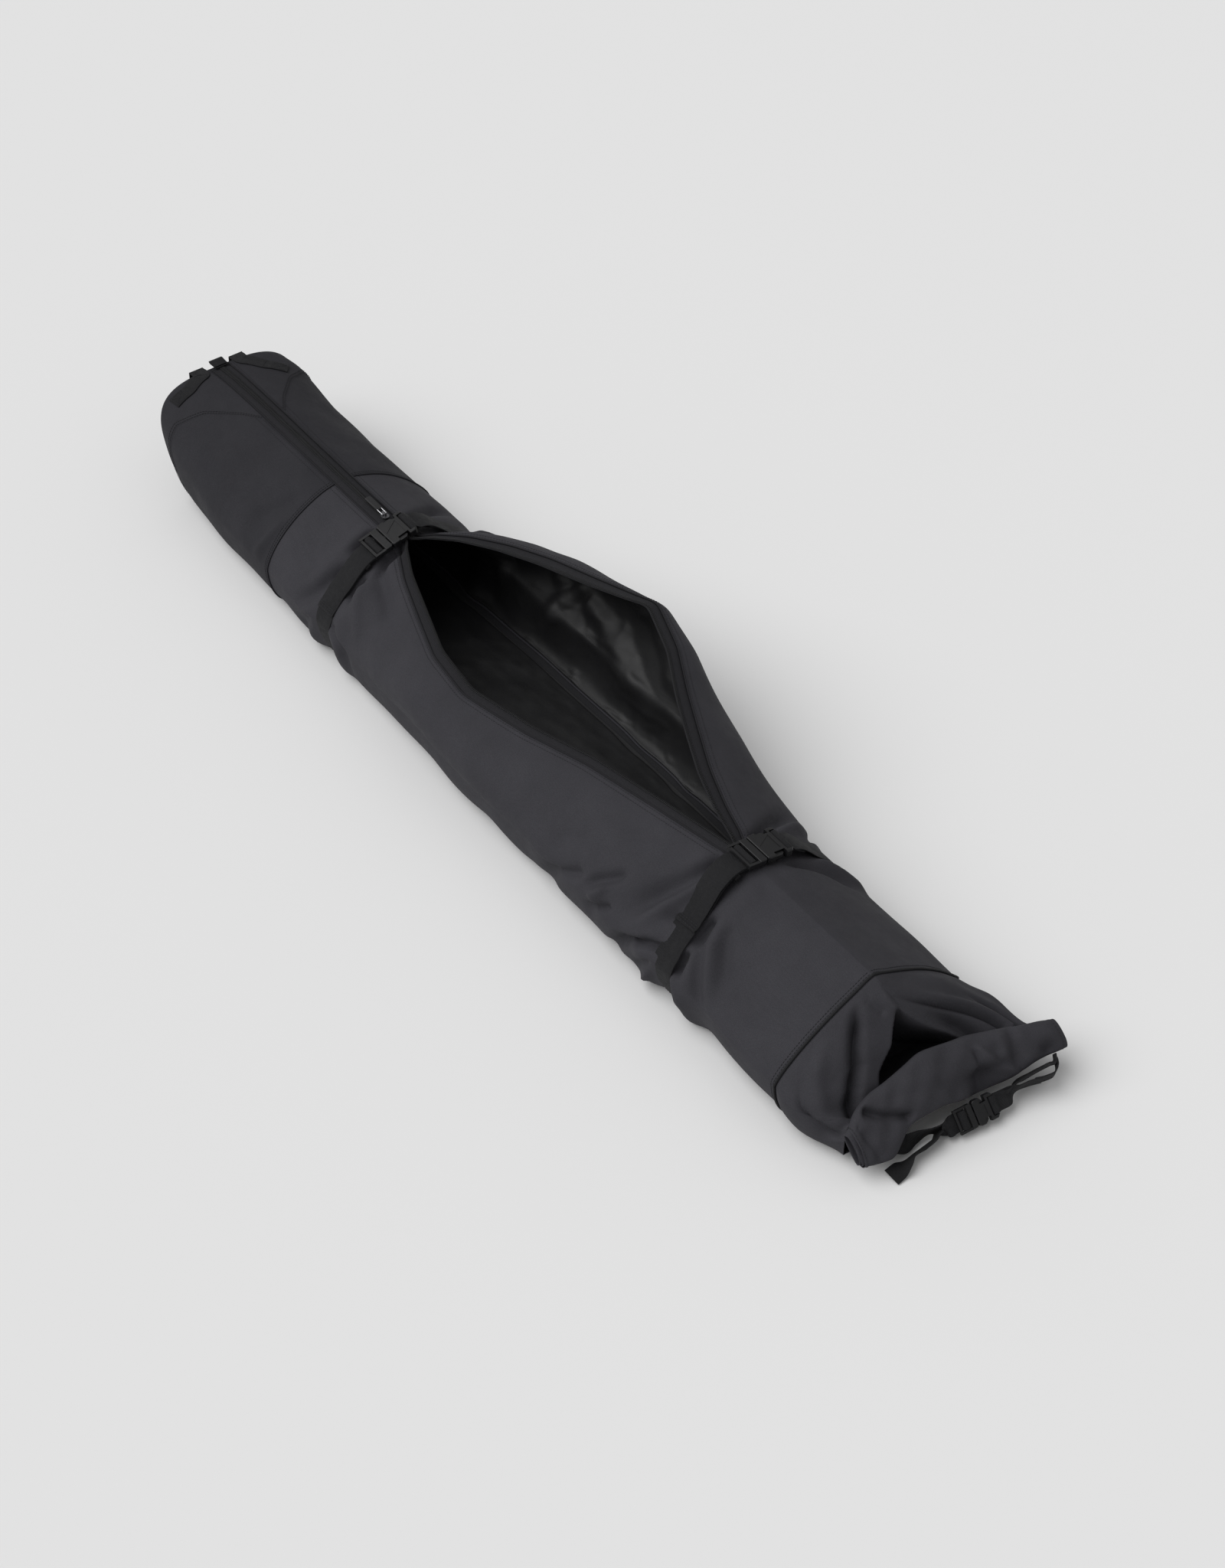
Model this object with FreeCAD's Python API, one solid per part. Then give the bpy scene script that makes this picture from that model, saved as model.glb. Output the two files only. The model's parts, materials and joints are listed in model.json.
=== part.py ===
"""Long soft ski bag, lying on its base with its top zip open: one STEP file per piece, in millimetres.

+X runs along the bag to the rolled end, +Y to its right-hand side and +Z up.
The origin is on the underside of the base panel, midway along the bag.
"""
import FreeCAD
import Part
import math
import os

V = FreeCAD.Vector

# ---- Lengths along the bag -------------------------------------------------------------------
X_END = -872.0          # top edge of the closed end
X_SEAM_FAR = -505.0     # seam ring between the end sleeve and the main body
X_STRAP_FAR = -350.0    # centre of the compression strap beside the zip's slider
X_MOUTH_FAR = -328.0    # where the open zip starts to part
X_MOUTH_NEAR = 450.0    # where the open zip ends
X_STRAP_NEAR = 475.0    # centre of the other compression strap
X_SEAM_NEAR = 730.0     # seam ring between the main body and the roll-top collar
END_SLANT = 66.0        # how far the end's bottom edge lies nearer than its top edge
X_SLANT = -640.0        # where that slant starts

# ---- Cross-section: x, half width, waist height, height, base half width, squareness ----------
SECTIONS = [
    (X_END, 121.0, 86.0, 169.0, 88.0, 3.6),
    (-840.0, 131.0, 80.0, 175.0, 100.0, 2.8),
    (-760.0, 137.0, 74.0, 178.0, 106.0, 2.0),
    (X_SLANT, 143.0, 71.0, 178.0, 110.0, 1.6),
    (X_SEAM_FAR, 147.0, 70.0, 178.0, 112.0, 1.5),
    (X_MOUTH_FAR, 147.0, 70.0, 178.0, 112.0, 1.5),
    (60.0, 158.0, 70.0, 178.0, 122.0, 1.5),
    (360.0, 157.0, 70.0, 178.0, 121.0, 1.5),
    (445.0, 153.0, 70.0, 178.0, 117.0, 1.5),
    (X_SEAM_NEAR, 151.0, 70.0, 178.0, 115.0, 1.5),
]

# ---- Lips of the open zip: x, sideways place and height of the panel's top edge ----------------
LIP_RIGHT = [
    (X_MOUTH_FAR, 0.0, 178.0),
    (-220.0, 84.0, 190.0),
    (-65.0, 126.0, 213.0),
    (40.0, 158.0, 228.0),
    (130.0, 126.0, 221.0),
    (200.0, 88.0, 212.0),
    (325.0, 30.0, 196.0),
    (X_MOUTH_NEAR, 0.0, 178.0),
]
LIP_LEFT = [
    (X_MOUTH_FAR, 0.0, 178.0),
    (-220.0, -48.0, 163.0),
    (-118.0, -80.0, 155.0),
    (-20.0, -88.0, 150.0),
    (86.0, -64.0, 152.0),
    (189.0, -38.0, 158.0),
    (304.0, -18.0, 166.0),
    (X_MOUTH_NEAR, 0.0, 178.0),
]
BULGE_RIGHT = 26.0      # how far the right panel bellies out below its lip
BULGE_LEFT = 10.0

# ---- Layers ------------------------------------------------------------------------------------
SKIN = 1.6              # outer fabric
LAYER_GAP = 0.8         # air between layers
PADDING = 3.0           # foam between the outer fabric and the lining
LINING = 1.0
BASE = 4.0              # base panel
BOARD = 3.0             # stiffener board on the base
FOAM = 5.0              # loose pad on the board
PIPING = 2.0            # height and half width of a seam's piping
PIPING_GAP = 1.0
T_WAIST = 0.30          # share of the side panel's girth below the waist
T_ZIP = 0.915           # share of the girth where panel ends and zip tape begins
GIRTH_STEPS = 9

# ---- Zip ---------------------------------------------------------------------------------------
TAPE = 1.0
COIL_WIDTH = 2.6
COIL_HEIGHT = 2.6
COIL_GAP = 3.0          # between the two closed coils at their feet, where the slider's post runs
X_SLIDER = -392.0
SLIDER_LENGTH = 15.0
SLIDER_WIDTH = 12.0

# ---- Webbing and buckles -----------------------------------------------------------------------
STRAP = 38.0            # compression webbing
ROLL_STRAP = 25.0       # webbing on the rolled end and the haul handle
WEB = 1.6               # webbing thickness
STANDOFF = 1.8          # webbing's height over the fabric
PLY = WEB + 0.6         # from one webbing layer to the next on top of it
STRAP_FOOT = 0.06       # share of the girth where a strap is sewn in
TAIL_LENGTH = 105.0     # free end of the webbing beyond the ladder
STITCHED = 26.0         # how far the short webbing is sewn back on itself
BUCKLE_FAR = (-25.0, 174.5, 14.0)       # y, z and tilt of the buckle's mouth, in mm and degrees
BUCKLE_NEAR = (12.5, 179.6, -10.0)
HINGE_X = -882.0        # hinge line of the haul handle, behind the end's top edge
HINGE_Z = 172.0
HANDLE_LEG = 36.0       # its legs stand this far each side of the middle
HANDLE_ANCHOR = [(-818.0, 0.70), (-845.0, 0.80), (-866.0, 0.90)]    # x and share of the girth
HANDLE_REACH = 58.0     # how far the loop hangs

# ---- Rolled end: y, then the roll's centre x and z, its breadth and its thickness --------------
ROLL = [
    (-150.0, 838.0, 46.0, 48.0, 15.0),
    (-100.0, 840.0, 56.0, 60.0, 21.0),
    (20.0, 845.0, 70.0, 66.0, 25.0),
    (130.0, 860.0, 70.0, 64.0, 23.0),
    (205.0, 873.0, 62.0, 48.0, 15.0),
]
ROLL_TILT = 45.0        # the band's face looks up and forwards
ROLL_SKIN = 1.6
ROLL_BUCKLE = V(880.0, 48.0, 21.0)
ROLL_BUCKLE_ALONG = V(0.10, 0.99, 0.05)
ROLL_BUCKLE_FACE = V(0.70, -0.10, 0.70)

# ---- Collar between the body and the rolled end: x at the floor, x at the top, then height, -----
# ---- breadth and how far the top is pushed down in the middle -----------------------------------
COLLAR = [
    (731.0, 731.0, 1.00, 1.00, 0.0),
    (762.0, 748.0, 0.84, 1.00, 16.0),
    (832.0, 776.0, 0.60, 0.96, 26.0),
]
COLLAR_WALL = 2.0


# ---- Small tools -------------------------------------------------------------------------------
def between(table, x):
    """The row of a table at x, by straight interpolation."""
    if x <= table[0][0]:
        return table[0][1:]
    for low, high in zip(table, table[1:]):
        if x <= high[0]:
            share = (x - low[0]) / (high[0] - low[0])
            return [a + (b - a) * share for a, b in zip(low[1:], high[1:])]
    return table[-1][1:]


def smooth(share):
    share = min(1.0, max(0.0, share))
    return share * share * (3.0 - 2.0 * share)


def stations(low, high, tables=(SECTIONS,)):
    """The x values at which a lofted piece changes, from low to high."""
    inner = {row[0] for table in tables for row in table if low < row[0] < high}
    return sorted(inner | {low, high})


def spline(points):
    curve = Part.BSplineCurve()
    curve.interpolate(points)
    return curve.toShape()


def ring(outer, inner):
    """A closed wire from two rows of points that run side by side."""
    edges = [spline(outer), Part.makeLine(outer[-1], inner[-1])]
    edges += [spline(inner[::-1]), Part.makeLine(inner[0], outer[0])]
    return Part.Wire(edges)


def loft(wires):
    solid = Part.makeLoft(wires, True, True)
    if solid.Volume < 0:
        solid.reverse()
    return solid


def box(low, high):
    size = [b - a for a, b in zip(low, high)]
    return Part.makeBox(*size, V(*low))


def prism(points, height):
    """A straight prism over a polygon of (x, y, z) points."""
    face = Part.Face(Part.makePolygon([V(*p) for p in points + points[:1]]))
    return face.extrude(V(*height))


def rounded(shape, radius, wanted):
    """The shape with the edges that wanted picks rounded, or as it is where that can't be done."""
    edges = [e for e in shape.Edges if wanted(e)]
    try:
        made = shape.makeFillet(radius, edges)
        return made if made.isValid() and made.Volume > 0 else shape
    except Exception:
        return shape


def save(name, shape):
    if not shape.isValid() or shape.Volume <= 0:
        print("bad shape", name, shape.isValid(), shape.Volume)
    shape.exportStep("parts/" + name + ".step")


# ---- The bag's outline -------------------------------------------------------------------------
def closed_point(x, t):
    """The outline's right half at x, from the base's edge (t = 0) to the ridge (t = 1)."""
    half, waist, height, base, power = between(SECTIONS, x)
    if t < T_WAIST:
        turn = math.pi / 2 * (1 - t / T_WAIST)
        return base + (half - base) * math.cos(turn), waist * (1 - math.sin(turn))
    turn = math.pi / 2 * (t - T_WAIST) / (1 - T_WAIST)
    along, up = max(0.0, math.cos(turn)) ** (2 / power), math.sin(turn) ** (2 / power)
    return half * along, waist + (height - waist) * up


def outline_point(x, t, side):
    """A point of the outline on the given side (1 is right, -1 left), with the open lips."""
    y, z = closed_point(x, t)
    y *= side
    if X_MOUTH_FAR < x < X_MOUTH_NEAR and t > T_WAIST:
        lip = LIP_RIGHT if side > 0 else LIP_LEFT
        bulge = BULGE_RIGHT if side > 0 else BULGE_LEFT
        share = (t - T_WAIST) / (1 - T_WAIST)
        lip_y, lip_z = between(lip, x)
        height = between(SECTIONS, x)[2]
        pull = smooth(share)
        openness = min(1.0, abs(lip_y) / 60.0)
        y += pull * lip_y + side * bulge * openness * math.sin(math.pi * share)
        z += pull * (lip_z - height)
    return y, z


def outline(x, t, side, depth=0.0):
    """A point depth mm inside the outline, as a vector, with the closed end's slant."""
    step = 0.01
    y0, z0 = outline_point(x, max(0.0, t - step), side)
    y1, z1 = outline_point(x, min(1.0, t + step), side)
    length = math.hypot(y1 - y0, z1 - z0)
    normal_y, normal_z = side * (z1 - z0) / length, -side * (y1 - y0) / length
    y, z = outline_point(x, t, side)
    if t == 0.0:
        normal_y, normal_z = 0.0, -1.0
    y, z = y - depth * normal_y, z - depth * normal_z
    slant = END_SLANT * min(1.0, max(0.0, (X_SLANT - x) / (X_SLANT - X_END)))
    return V(x + slant * (1 - z / between(SECTIONS, x)[2]), y, z)


def girth(low, high, steps=GIRTH_STEPS):
    return [low + (high - low) * i / steps for i in range(steps + 1)]


def side_sheet(low, high, side, depth, thick):
    """A sheet of the bag's side between two stations, thick mm thick, from depth mm inside."""
    tables = (SECTIONS, LIP_RIGHT if side > 0 else LIP_LEFT)
    wires = []
    for x in stations(low, high, tables):
        shares = girth(0.0, T_ZIP)
        outer = [outline(x, t, side, depth) for t in shares]
        inner = [outline(x, t, side, depth + thick) for t in shares]
        wires.append(ring(outer, inner))
    return loft(wires)


# ---- Shell -------------------------------------------------------------------------------------
def base_edge(inset=0.0):
    """The base's outline, clockwise seen from above, as (x, y) points."""
    xs = [row[0] for row in SECTIONS]
    right = [(outline(x, 0.0, 1).x, between(SECTIONS, x)[3] - inset) for x in xs]
    right[0] = (right[0][0] + inset, right[0][1])
    right[-1] = (right[-1][0] - inset, right[-1][1])
    return right + [(x, -y) for x, y in reversed(right)]


def flat_sheet(inset, low, thick):
    points = [(x, y, low) for x, y in base_edge(inset)]
    return prism(points, (0, 0, thick))


def shell():
    for name, side in (("left", -1), ("right", 1)):
        save("end_sleeve_" + name, side_sheet(X_END, X_SEAM_FAR, side, 0.0, SKIN))
        save("main_panel_" + name, side_sheet(X_SEAM_FAR, X_SEAM_NEAR, side, 0.0, SKIN))
        depth = SKIN + LAYER_GAP
        save("padding_" + name, side_sheet(X_END + 8, X_SEAM_NEAR - 8, side, depth, PADDING))
        depth += PADDING + LAYER_GAP
        save("lining_" + name, side_sheet(X_END + 8, X_SEAM_NEAR - 8, side, depth, LINING))
    save("base_panel", flat_sheet(0.0, 0.0, BASE))
    save("base_board", flat_sheet(14.0, BASE + LAYER_GAP, BOARD))
    save("base_foam_pad", flat_sheet(20.0, BASE + 2 * LAYER_GAP + BOARD, FOAM))


def section_loop(x, depth=0.0, shift=0.0, shrink=1.0):
    """The whole outline at x as a closed wire, moved shift mm along X and drawn in to shrink."""
    shares = girth(0.0, 1.0)
    right = [outline(x, t, 1, depth) for t in shares]
    left = [outline(x, t, -1, depth) for t in shares]
    middle = sum((p.z for p in right), 0.0) / len(right)

    def moved(p):
        return V(p.x + shift, p.y * shrink, middle + (p.z - middle) * shrink)

    right, left = [moved(p) for p in right], [moved(p) for p in left]
    right[-1] = V(right[-1].x, 0.0, right[-1].z)
    left[-1] = right[-1]
    foot = Part.makeLine(left[0], right[0])
    return Part.Wire([spline(right), spline(left[::-1]), foot])


def closed_end():
    save("end_cap", loft([section_loop(X_END), section_loop(X_END, shift=-6.0, shrink=0.93)]))


def seam_piping(name, x):
    """The rib of a seam that runs over both sides, from base edge to base edge."""
    parts = []
    for side in (-1, 1):
        wires = []
        for offset in (-PIPING, PIPING):
            shares = girth(0.05, 0.90)
            outer = [outline(x + offset, t, side, -PIPING - PIPING_GAP) for t in shares]
            inner = [outline(x + offset, t, side, -PIPING_GAP) for t in shares]
            wires.append(ring(outer, inner))
        parts.append(loft(wires))
    save(name, Part.makeCompound(parts))


# ---- Zip ---------------------------------------------------------------------------------------
def tape_point(x, share, side, height):
    """A point of the zip tape, from the panel's edge (share 0) to the coil (share 1)."""
    edge = outline(x, T_ZIP, side)
    top = outline(x, 1.0, side)
    gap = V(0, side * (COIL_GAP / 2 + COIL_WIDTH), 0)
    at = edge + (top + gap - edge) * share
    along = (top + gap - edge).normalize()
    up = V(0, -side * along.z, abs(along.y))
    return at + up * height


def tape_ring(x, side, share_low, share_high, low, high):
    corners = [(share_low, low), (share_high, low), (share_high, high), (share_low, high)]
    points = [tape_point(x, share, side, height) for share, height in corners]
    return Part.makePolygon(points + points[:1])


def coil_ring(x, side):
    """The coil's square section at the tape's free edge."""
    foot = tape_point(x, 1.0, side, 0.0)
    back = tape_point(x, 0.9, side, 0.0)
    along = (foot - back).normalize()
    up = V(0, -side * along.z, abs(along.y))
    corner = foot + along * 0.2 - up * 0.8
    points = [corner, corner + along * COIL_WIDTH]
    points += [points[1] + up * COIL_HEIGHT, corner + up * COIL_HEIGHT]
    return Part.makePolygon(points + points[:1])


def zip_tapes():
    for name, side in (("left", -1), ("right", 1)):
        xs = stations(X_END + 6, X_MOUTH_NEAR, (SECTIONS, LIP_RIGHT if side > 0 else LIP_LEFT))
        tape = [tape_ring(x, side, 0.05, 1.0, -TAPE, 0.0) for x in xs]
        save("zip_tape_" + name, loft(tape))
        save("zip_coil_" + name, loft([coil_ring(x, side) for x in xs]))


def zip_trim():
    height = between(SECTIONS, X_MOUTH_NEAR)[2]
    stop = box((X_MOUTH_NEAR + 0.5, -5, height - 1.5), (X_MOUTH_NEAR + 4.5, 5, height + 1.6))
    save("zip_stop", stop)
    tip = outline(X_END, 1.0, 1)
    tab = box((tip.x - 12, -12, tip.z + 4.8), (tip.x + 10, 12, tip.z + 8.0))
    tab = tab.cut(box((tip.x - 9, -13, tip.z + 6.1), (tip.x + 11, 13, tip.z + 6.7)))
    save("zip_end_tab", tab)
    ridge = box((X_MOUTH_NEAR + 6, -14, height - 3.4), (X_SEAM_NEAR, 14, height - 1.4))
    save("ridge_facing", ridge)


def slider():
    """The zip's slider: two plates joined by a thin post that runs between the coils."""
    ridge = closed_point(X_SLIDER, 1.0)[1]
    low, high = ridge - 5.6, ridge + 4.6
    back, front = X_SLIDER - SLIDER_LENGTH / 2, X_SLIDER + SLIDER_LENGTH / 2
    half = SLIDER_WIDTH / 2

    def plate(z0, z1):
        nose = [(back, -half + 2, z0), (back, half - 2, z0), (front - 4, half, z0)]
        nose += [(front, half - 3, z0), (front, -half + 3, z0), (front - 4, -half, z0)]
        return prism(nose, (0, 0, z1 - z0))

    body = plate(low, low + 1.6).fuse(plate(high - 1.6, high))
    post = box((front - 6, -0.35, low + 1), (front - 1, 0.35, high - 1))
    body = body.fuse(post)
    lug = box((X_SLIDER - 5, -1.6, high - 0.2), (X_SLIDER + 3, 1.6, high + 4.4))
    eye = Part.makeCylinder(1.3, 5, V(X_SLIDER - 1, -2.5, high + 2.2), V(0, 1, 0))
    body = body.fuse(lug).cut(eye).removeSplitter()
    save("zip_slider", body)
    return X_SLIDER - 1, high + 2.2


def puller(x, z):
    """The wire ring on the slider's lug and the moulded grip on it, lying towards the closed end."""
    pin = Part.makeCylinder(0.9, 7.0, V(x, -3.5, z), V(0, 1, 0))
    arms = [Part.makeCylinder(0.9, 14.0, V(x, y, z), V(-1, 0, 0)) for y in (-3.5, 3.5)]
    cross = Part.makeCylinder(0.9, 7.0, V(x - 14, -3.5, z), V(0, 1, 0))
    balls = [Part.makeSphere(0.9, V(x + a, y, z)) for a in (0, -14) for y in (-3.5, 3.5)]
    ring_shape = pin.multiFuse(arms + [cross] + balls).removeSplitter()
    save("zip_pull_ring", ring_shape)
    grip = box((x - 46, -5, z - 2.0), (x - 11.4, 5, z + 2.0))
    grip = rounded(grip, 1.4, lambda e: True)
    slot = Part.makeCylinder(1.3, 12, V(x - 14, -6, z), V(0, 1, 0))
    relief = box((x - 14, -4.9, z - 3), (x - 10, -2.1, z + 3)).fuse(box((x - 14, 2.1, z - 3), (x - 10, 4.9, z + 3)))
    save("zip_pull_grip", grip.cut(slot).cut(relief).removeSplitter())


# ---- Webbing: strips drawn in the plane of u (along) and w (outwards), as wide as v ---------------
def placed(shape, origin, along, face):
    """The shape moved so that u runs along, w looks along face and v lies across."""
    across = face.cross(along)
    turn = FreeCAD.Rotation(along, across, face, "XZY")
    moved = shape.copy()
    moved.Placement = FreeCAD.Placement(origin, turn)
    return moved


def normals(path):
    """The unit normal at each point of a path, on its left-hand side."""
    out = []
    for i in range(len(path)):
        (a, b), (c, d) = path[max(i - 1, 0)], path[min(i + 1, len(path) - 1)]
        length = math.hypot(c - a, d - b)
        out.append((-(d - b) / length, (c - a) / length))
    return out


def shifted(path, distance):
    return [(a + n * distance, b + m * distance) for (a, b), (n, m) in zip(path, normals(path))]


def first_stretch(path, length):
    """The start of a path, length mm of it."""
    out = [path[0]]
    for point in path[1:]:
        step = math.dist(out[-1], point)
        if step >= length:
            share = length / step
            out.append(tuple(a + (b - a) * share for a, b in zip(out[-1], point)))
            return out
        out.append(point)
        length -= step
    return out


def taut(path, end):
    """A path over a crown, pulled tight to an end point above it."""
    heading = 1 if end[0] > path[0][0] else -1
    kept = [point for point in path if (end[0] - point[0]) * heading > 0]
    while len(kept) > 1:
        (a, b), (c, d) = kept[-2], kept[-1]
        turn = (c - a) * (end[1] - d) - (d - b) * (end[0] - c)
        if turn * heading <= 0:
            break
        kept.pop()
    return kept + [end]


def webbing(path, width, thick=WEB):
    left, right = shifted(path, thick / 2), shifted(path, -thick / 2)
    points = [(a, -width / 2, b) for a, b in left + right[::-1]]
    return prism(points, (0, width, 0))


def ribbon(rows, width, thick=WEB):
    """Webbing that twists: each row is its centre, the way its breadth lies and its normal."""
    wires = []
    for centre, across, normal in rows:
        side, up = across.normalize() * (width / 2), normal.normalize() * (thick / 2)
        corners = [centre - side - up, centre + side - up, centre + side + up, centre - side + up]
        wires.append(Part.makePolygon(corners + corners[:1]))
    return Part.makeLoft(wires, True, True)


# ---- Side-release buckle, in its own frame: u along the strap, v across it, w outwards ------------
def buckle_sizes(width):
    small = width < 30
    return {
        "half": width / 2 + (5.0 if small else 6.0),
        "thick": 9.0 if small else 11.0,
        "long": 32.0 if small else 44.0,
        "bar": 3.5 if small else 4.0,
        "base": 9.5 if small else 13.0,
        "window": 10.0 if small else 13.0,
        "slot": width / 2 + 0.8,
    }


def ladder(width):
    """The ladder's edges along u: its outer bar, its middle bar and the start of its base."""
    s = buckle_sizes(width)
    base = -s["base"]
    inner = base - 5.0
    middle = inner - s["bar"] - 0.8
    outer = middle - 5.0
    return outer - s["bar"], outer, middle, inner, base


def female_half(width):
    s = buckle_sizes(width)
    half, thick, length = s["half"], s["thick"], s["long"]
    corners = [(0, -half + 2, 0), (3, -half, 0), (length - 4, -half, 0), (length, -half + 4, 0)]
    corners += [(u, -v, w) for u, v, w in reversed(corners)]
    body = rounded(prism(corners, (0, 0, thick)), 1.6, rims(0.0, thick))
    body = body.cut(box((-1, -half + 3, 2), (length - 13, half - 3, thick - 2)))
    for side in (-1, 1):
        across = sorted((side * (half + 1), side * (half - 7.5)))
        body = body.cut(box((s["window"], across[0], -1), (length - 13, across[1], thick + 1)))
    body = body.cut(box((length - 9.5, -s["slot"], -1), (length - 4.5, s["slot"], thick + 1)))
    for low, high in ((-1, 3.2), (thick - 3.2, thick + 1)):
        body = body.cut(box((length - 5, -s["slot"], low), (length + 1, s["slot"], high)))
    arrow = [(4, 0, thick - 0.6), (length - 16, -half + 11, thick - 0.6), (length - 16, half - 11, thick - 0.6)]
    return body.cut(prism(arrow, (0, 0, 2))).removeSplitter()


def male_half(width):
    s = buckle_sizes(width)
    half, thick = s["half"] - 1, s["thick"]
    start, outer, middle, inner, base = ladder(width)
    block = prism([(base, -half, 1.2), (-3, -half, 1.2), (-0.9, -half + 2, 1.2), (-0.9, half - 2, 1.2),
                   (-3, half, 1.2), (base, half, 1.2)], (0, 0, thick - 2.4))
    body = rounded(block, 1.2, rims(1.2, thick - 1.2))
    for side in (-1, 1):
        across = sorted((side * s["slot"], side * half))
        body = body.fuse(box((start, across[0], 2.4), (base + 1, across[1], thick - 2.4)))
    body = body.fuse(box((start, -half, 3.6), (outer, half, thick - 3.0)))
    body = body.fuse(box((middle, -half, 4.0), (inner, half, 6.3)))
    guide = box((-1.4, -2.4, 2.8), (s["long"] - 18, 2.4, thick - 2.8))
    return body.fuse(rounded(guide, 0.8, lambda e: e.BoundBox.XLength > 5)).removeSplitter()


def prong(width, side):
    """One springing arm of the male half, with its latch."""
    s = buckle_sizes(width)
    half, thick, tip = s["half"], s["thick"], s["long"] - 16.5
    outer, inner, catch = half - 4.4, half - 7.6, s["window"] + 0.8
    points = [(-0.4, inner), (-0.4, outer), (catch, outer), (catch, half - 0.9), (tip - 3.5, half - 0.7)]
    points += [(tip, outer), (tip, inner + 0.6)]
    return prism([(u, side * v, 2.8) for u, v in points], (0, 0, thick - 5.6))


def ladder_path(width):
    """The webbing's way through the ladder: in below, over the middle bar and back out on top."""
    start, outer, middle, inner, base = ladder(width)
    m_in, m_out = (inner + base) / 2, (outer + middle) / 2
    way = [(start - 4, -0.5), (middle, -0.5), (inner - 0.5, 0.2), (m_in - 0.6, 2.2), (m_in, 4.5)]
    way += [(m_in - 0.4, 6.8), (inner - 0.3, 8.3), (middle + 0.3, 8.3), (m_out + 0.5, 6.6)]
    return way + [(m_out, 4.6), (m_out - 0.5, 2.9), (outer - 0.6, 1.9), (start - 4, 1.7)]


def bar_path(width):
    """The short webbing's way round the bar at the back of the female half, from below."""
    s = buckle_sizes(width)
    end, thick = s["long"], s["thick"]
    way = [(end + 4, 1.2), (end - 4, 1.5), (end - 6.2, 2.2), (end - 7, 4), (end - 7, thick - 3.6)]
    return way + [(end - 6.2, thick - 1.9), (end - 4, thick - 1.5), (end, thick - 1.7), (end + 5, 3.6)]


def rims(low, high):
    """Picks the edges that lie flat at either of two heights."""
    def wanted(edge):
        b = edge.BoundBox
        return any(abs(b.ZMin - z) < 0.01 and abs(b.ZMax - z) < 0.01 for z in (low, high))

    return wanted


def buckle(name, width, origin, along, face):
    save(name + "_female", placed(female_half(width), origin, along, face))
    save(name + "_male", placed(male_half(width), origin, along, face))
    for label, side in (("a", -1), ("b", 1)):
        save(name + "_prong_" + label, placed(prong(width, side), origin, along, face))


# ---- Compression straps ------------------------------------------------------------------------
def keeper(start, contact):
    """The elastic loop that holds the free end down, just below the buckle; points are (y, z)."""
    length = math.dist(start, contact)
    along = V(0, (start[0] - contact[0]) / length, (start[1] - contact[1]) / length)
    face = V(0, -along.z, along.y)
    breadth, low, high = STRAP / 2 + 0.7, -WEB / 2 - 0.5, PLY + WEB / 2 + 0.5
    loop = box((-5, -breadth - 1.2, low - 1.2), (5, breadth + 1.2, high + 1.2))
    loop = loop.cut(box((-6, -breadth, low), (6, breadth, high)))
    return loop, along, face


def compression_strap(name, x, seat):
    """A strap round the bag at x: long webbing on the left, short on the right, buckle on top."""
    y0, z0, tilt = seat
    c, s = math.cos(math.radians(tilt)), math.sin(math.radians(tilt))
    origin, along, face = V(x, 0, 0), V(0, 1, 0), V(0, 0, 1)

    def across_bag(path):
        return [(y0 + u * c - w * s, z0 + u * s + w * c) for u, w in path]

    def over_fabric(side):
        points = [outline(x, t, side, -STANDOFF - WEB / 2) for t in girth(STRAP_FOOT, 0.98, 24)]
        return [(p.y, p.z) for p in points]

    way = across_bag(ladder_path(STRAP))
    load = taut(over_fabric(-1), way[0])
    tail = shifted(first_stretch(load[::-1], TAIL_LENGTH), -PLY)
    save(name + "_webbing_left", placed(webbing(load + way[1:] + tail[1:], STRAP), origin, along, face))
    loop, slope, outwards = keeper(way[0], load[-2])
    seat_point = V(x, way[0][0], way[0][1]) - slope * 12
    save(name + "_keeper", placed(loop, seat_point, slope, outwards))

    way = across_bag(bar_path(STRAP))
    load = taut(over_fabric(1), way[0])
    back = shifted(first_stretch(load[::-1], STITCHED), PLY)
    save(name + "_webbing_right", placed(webbing(load + way[1:] + back[1:], STRAP), origin, along, face))
    buckle(name + "_buckle", STRAP, V(x, y0, z0), V(0, c, s), V(0, -s, c))


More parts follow.
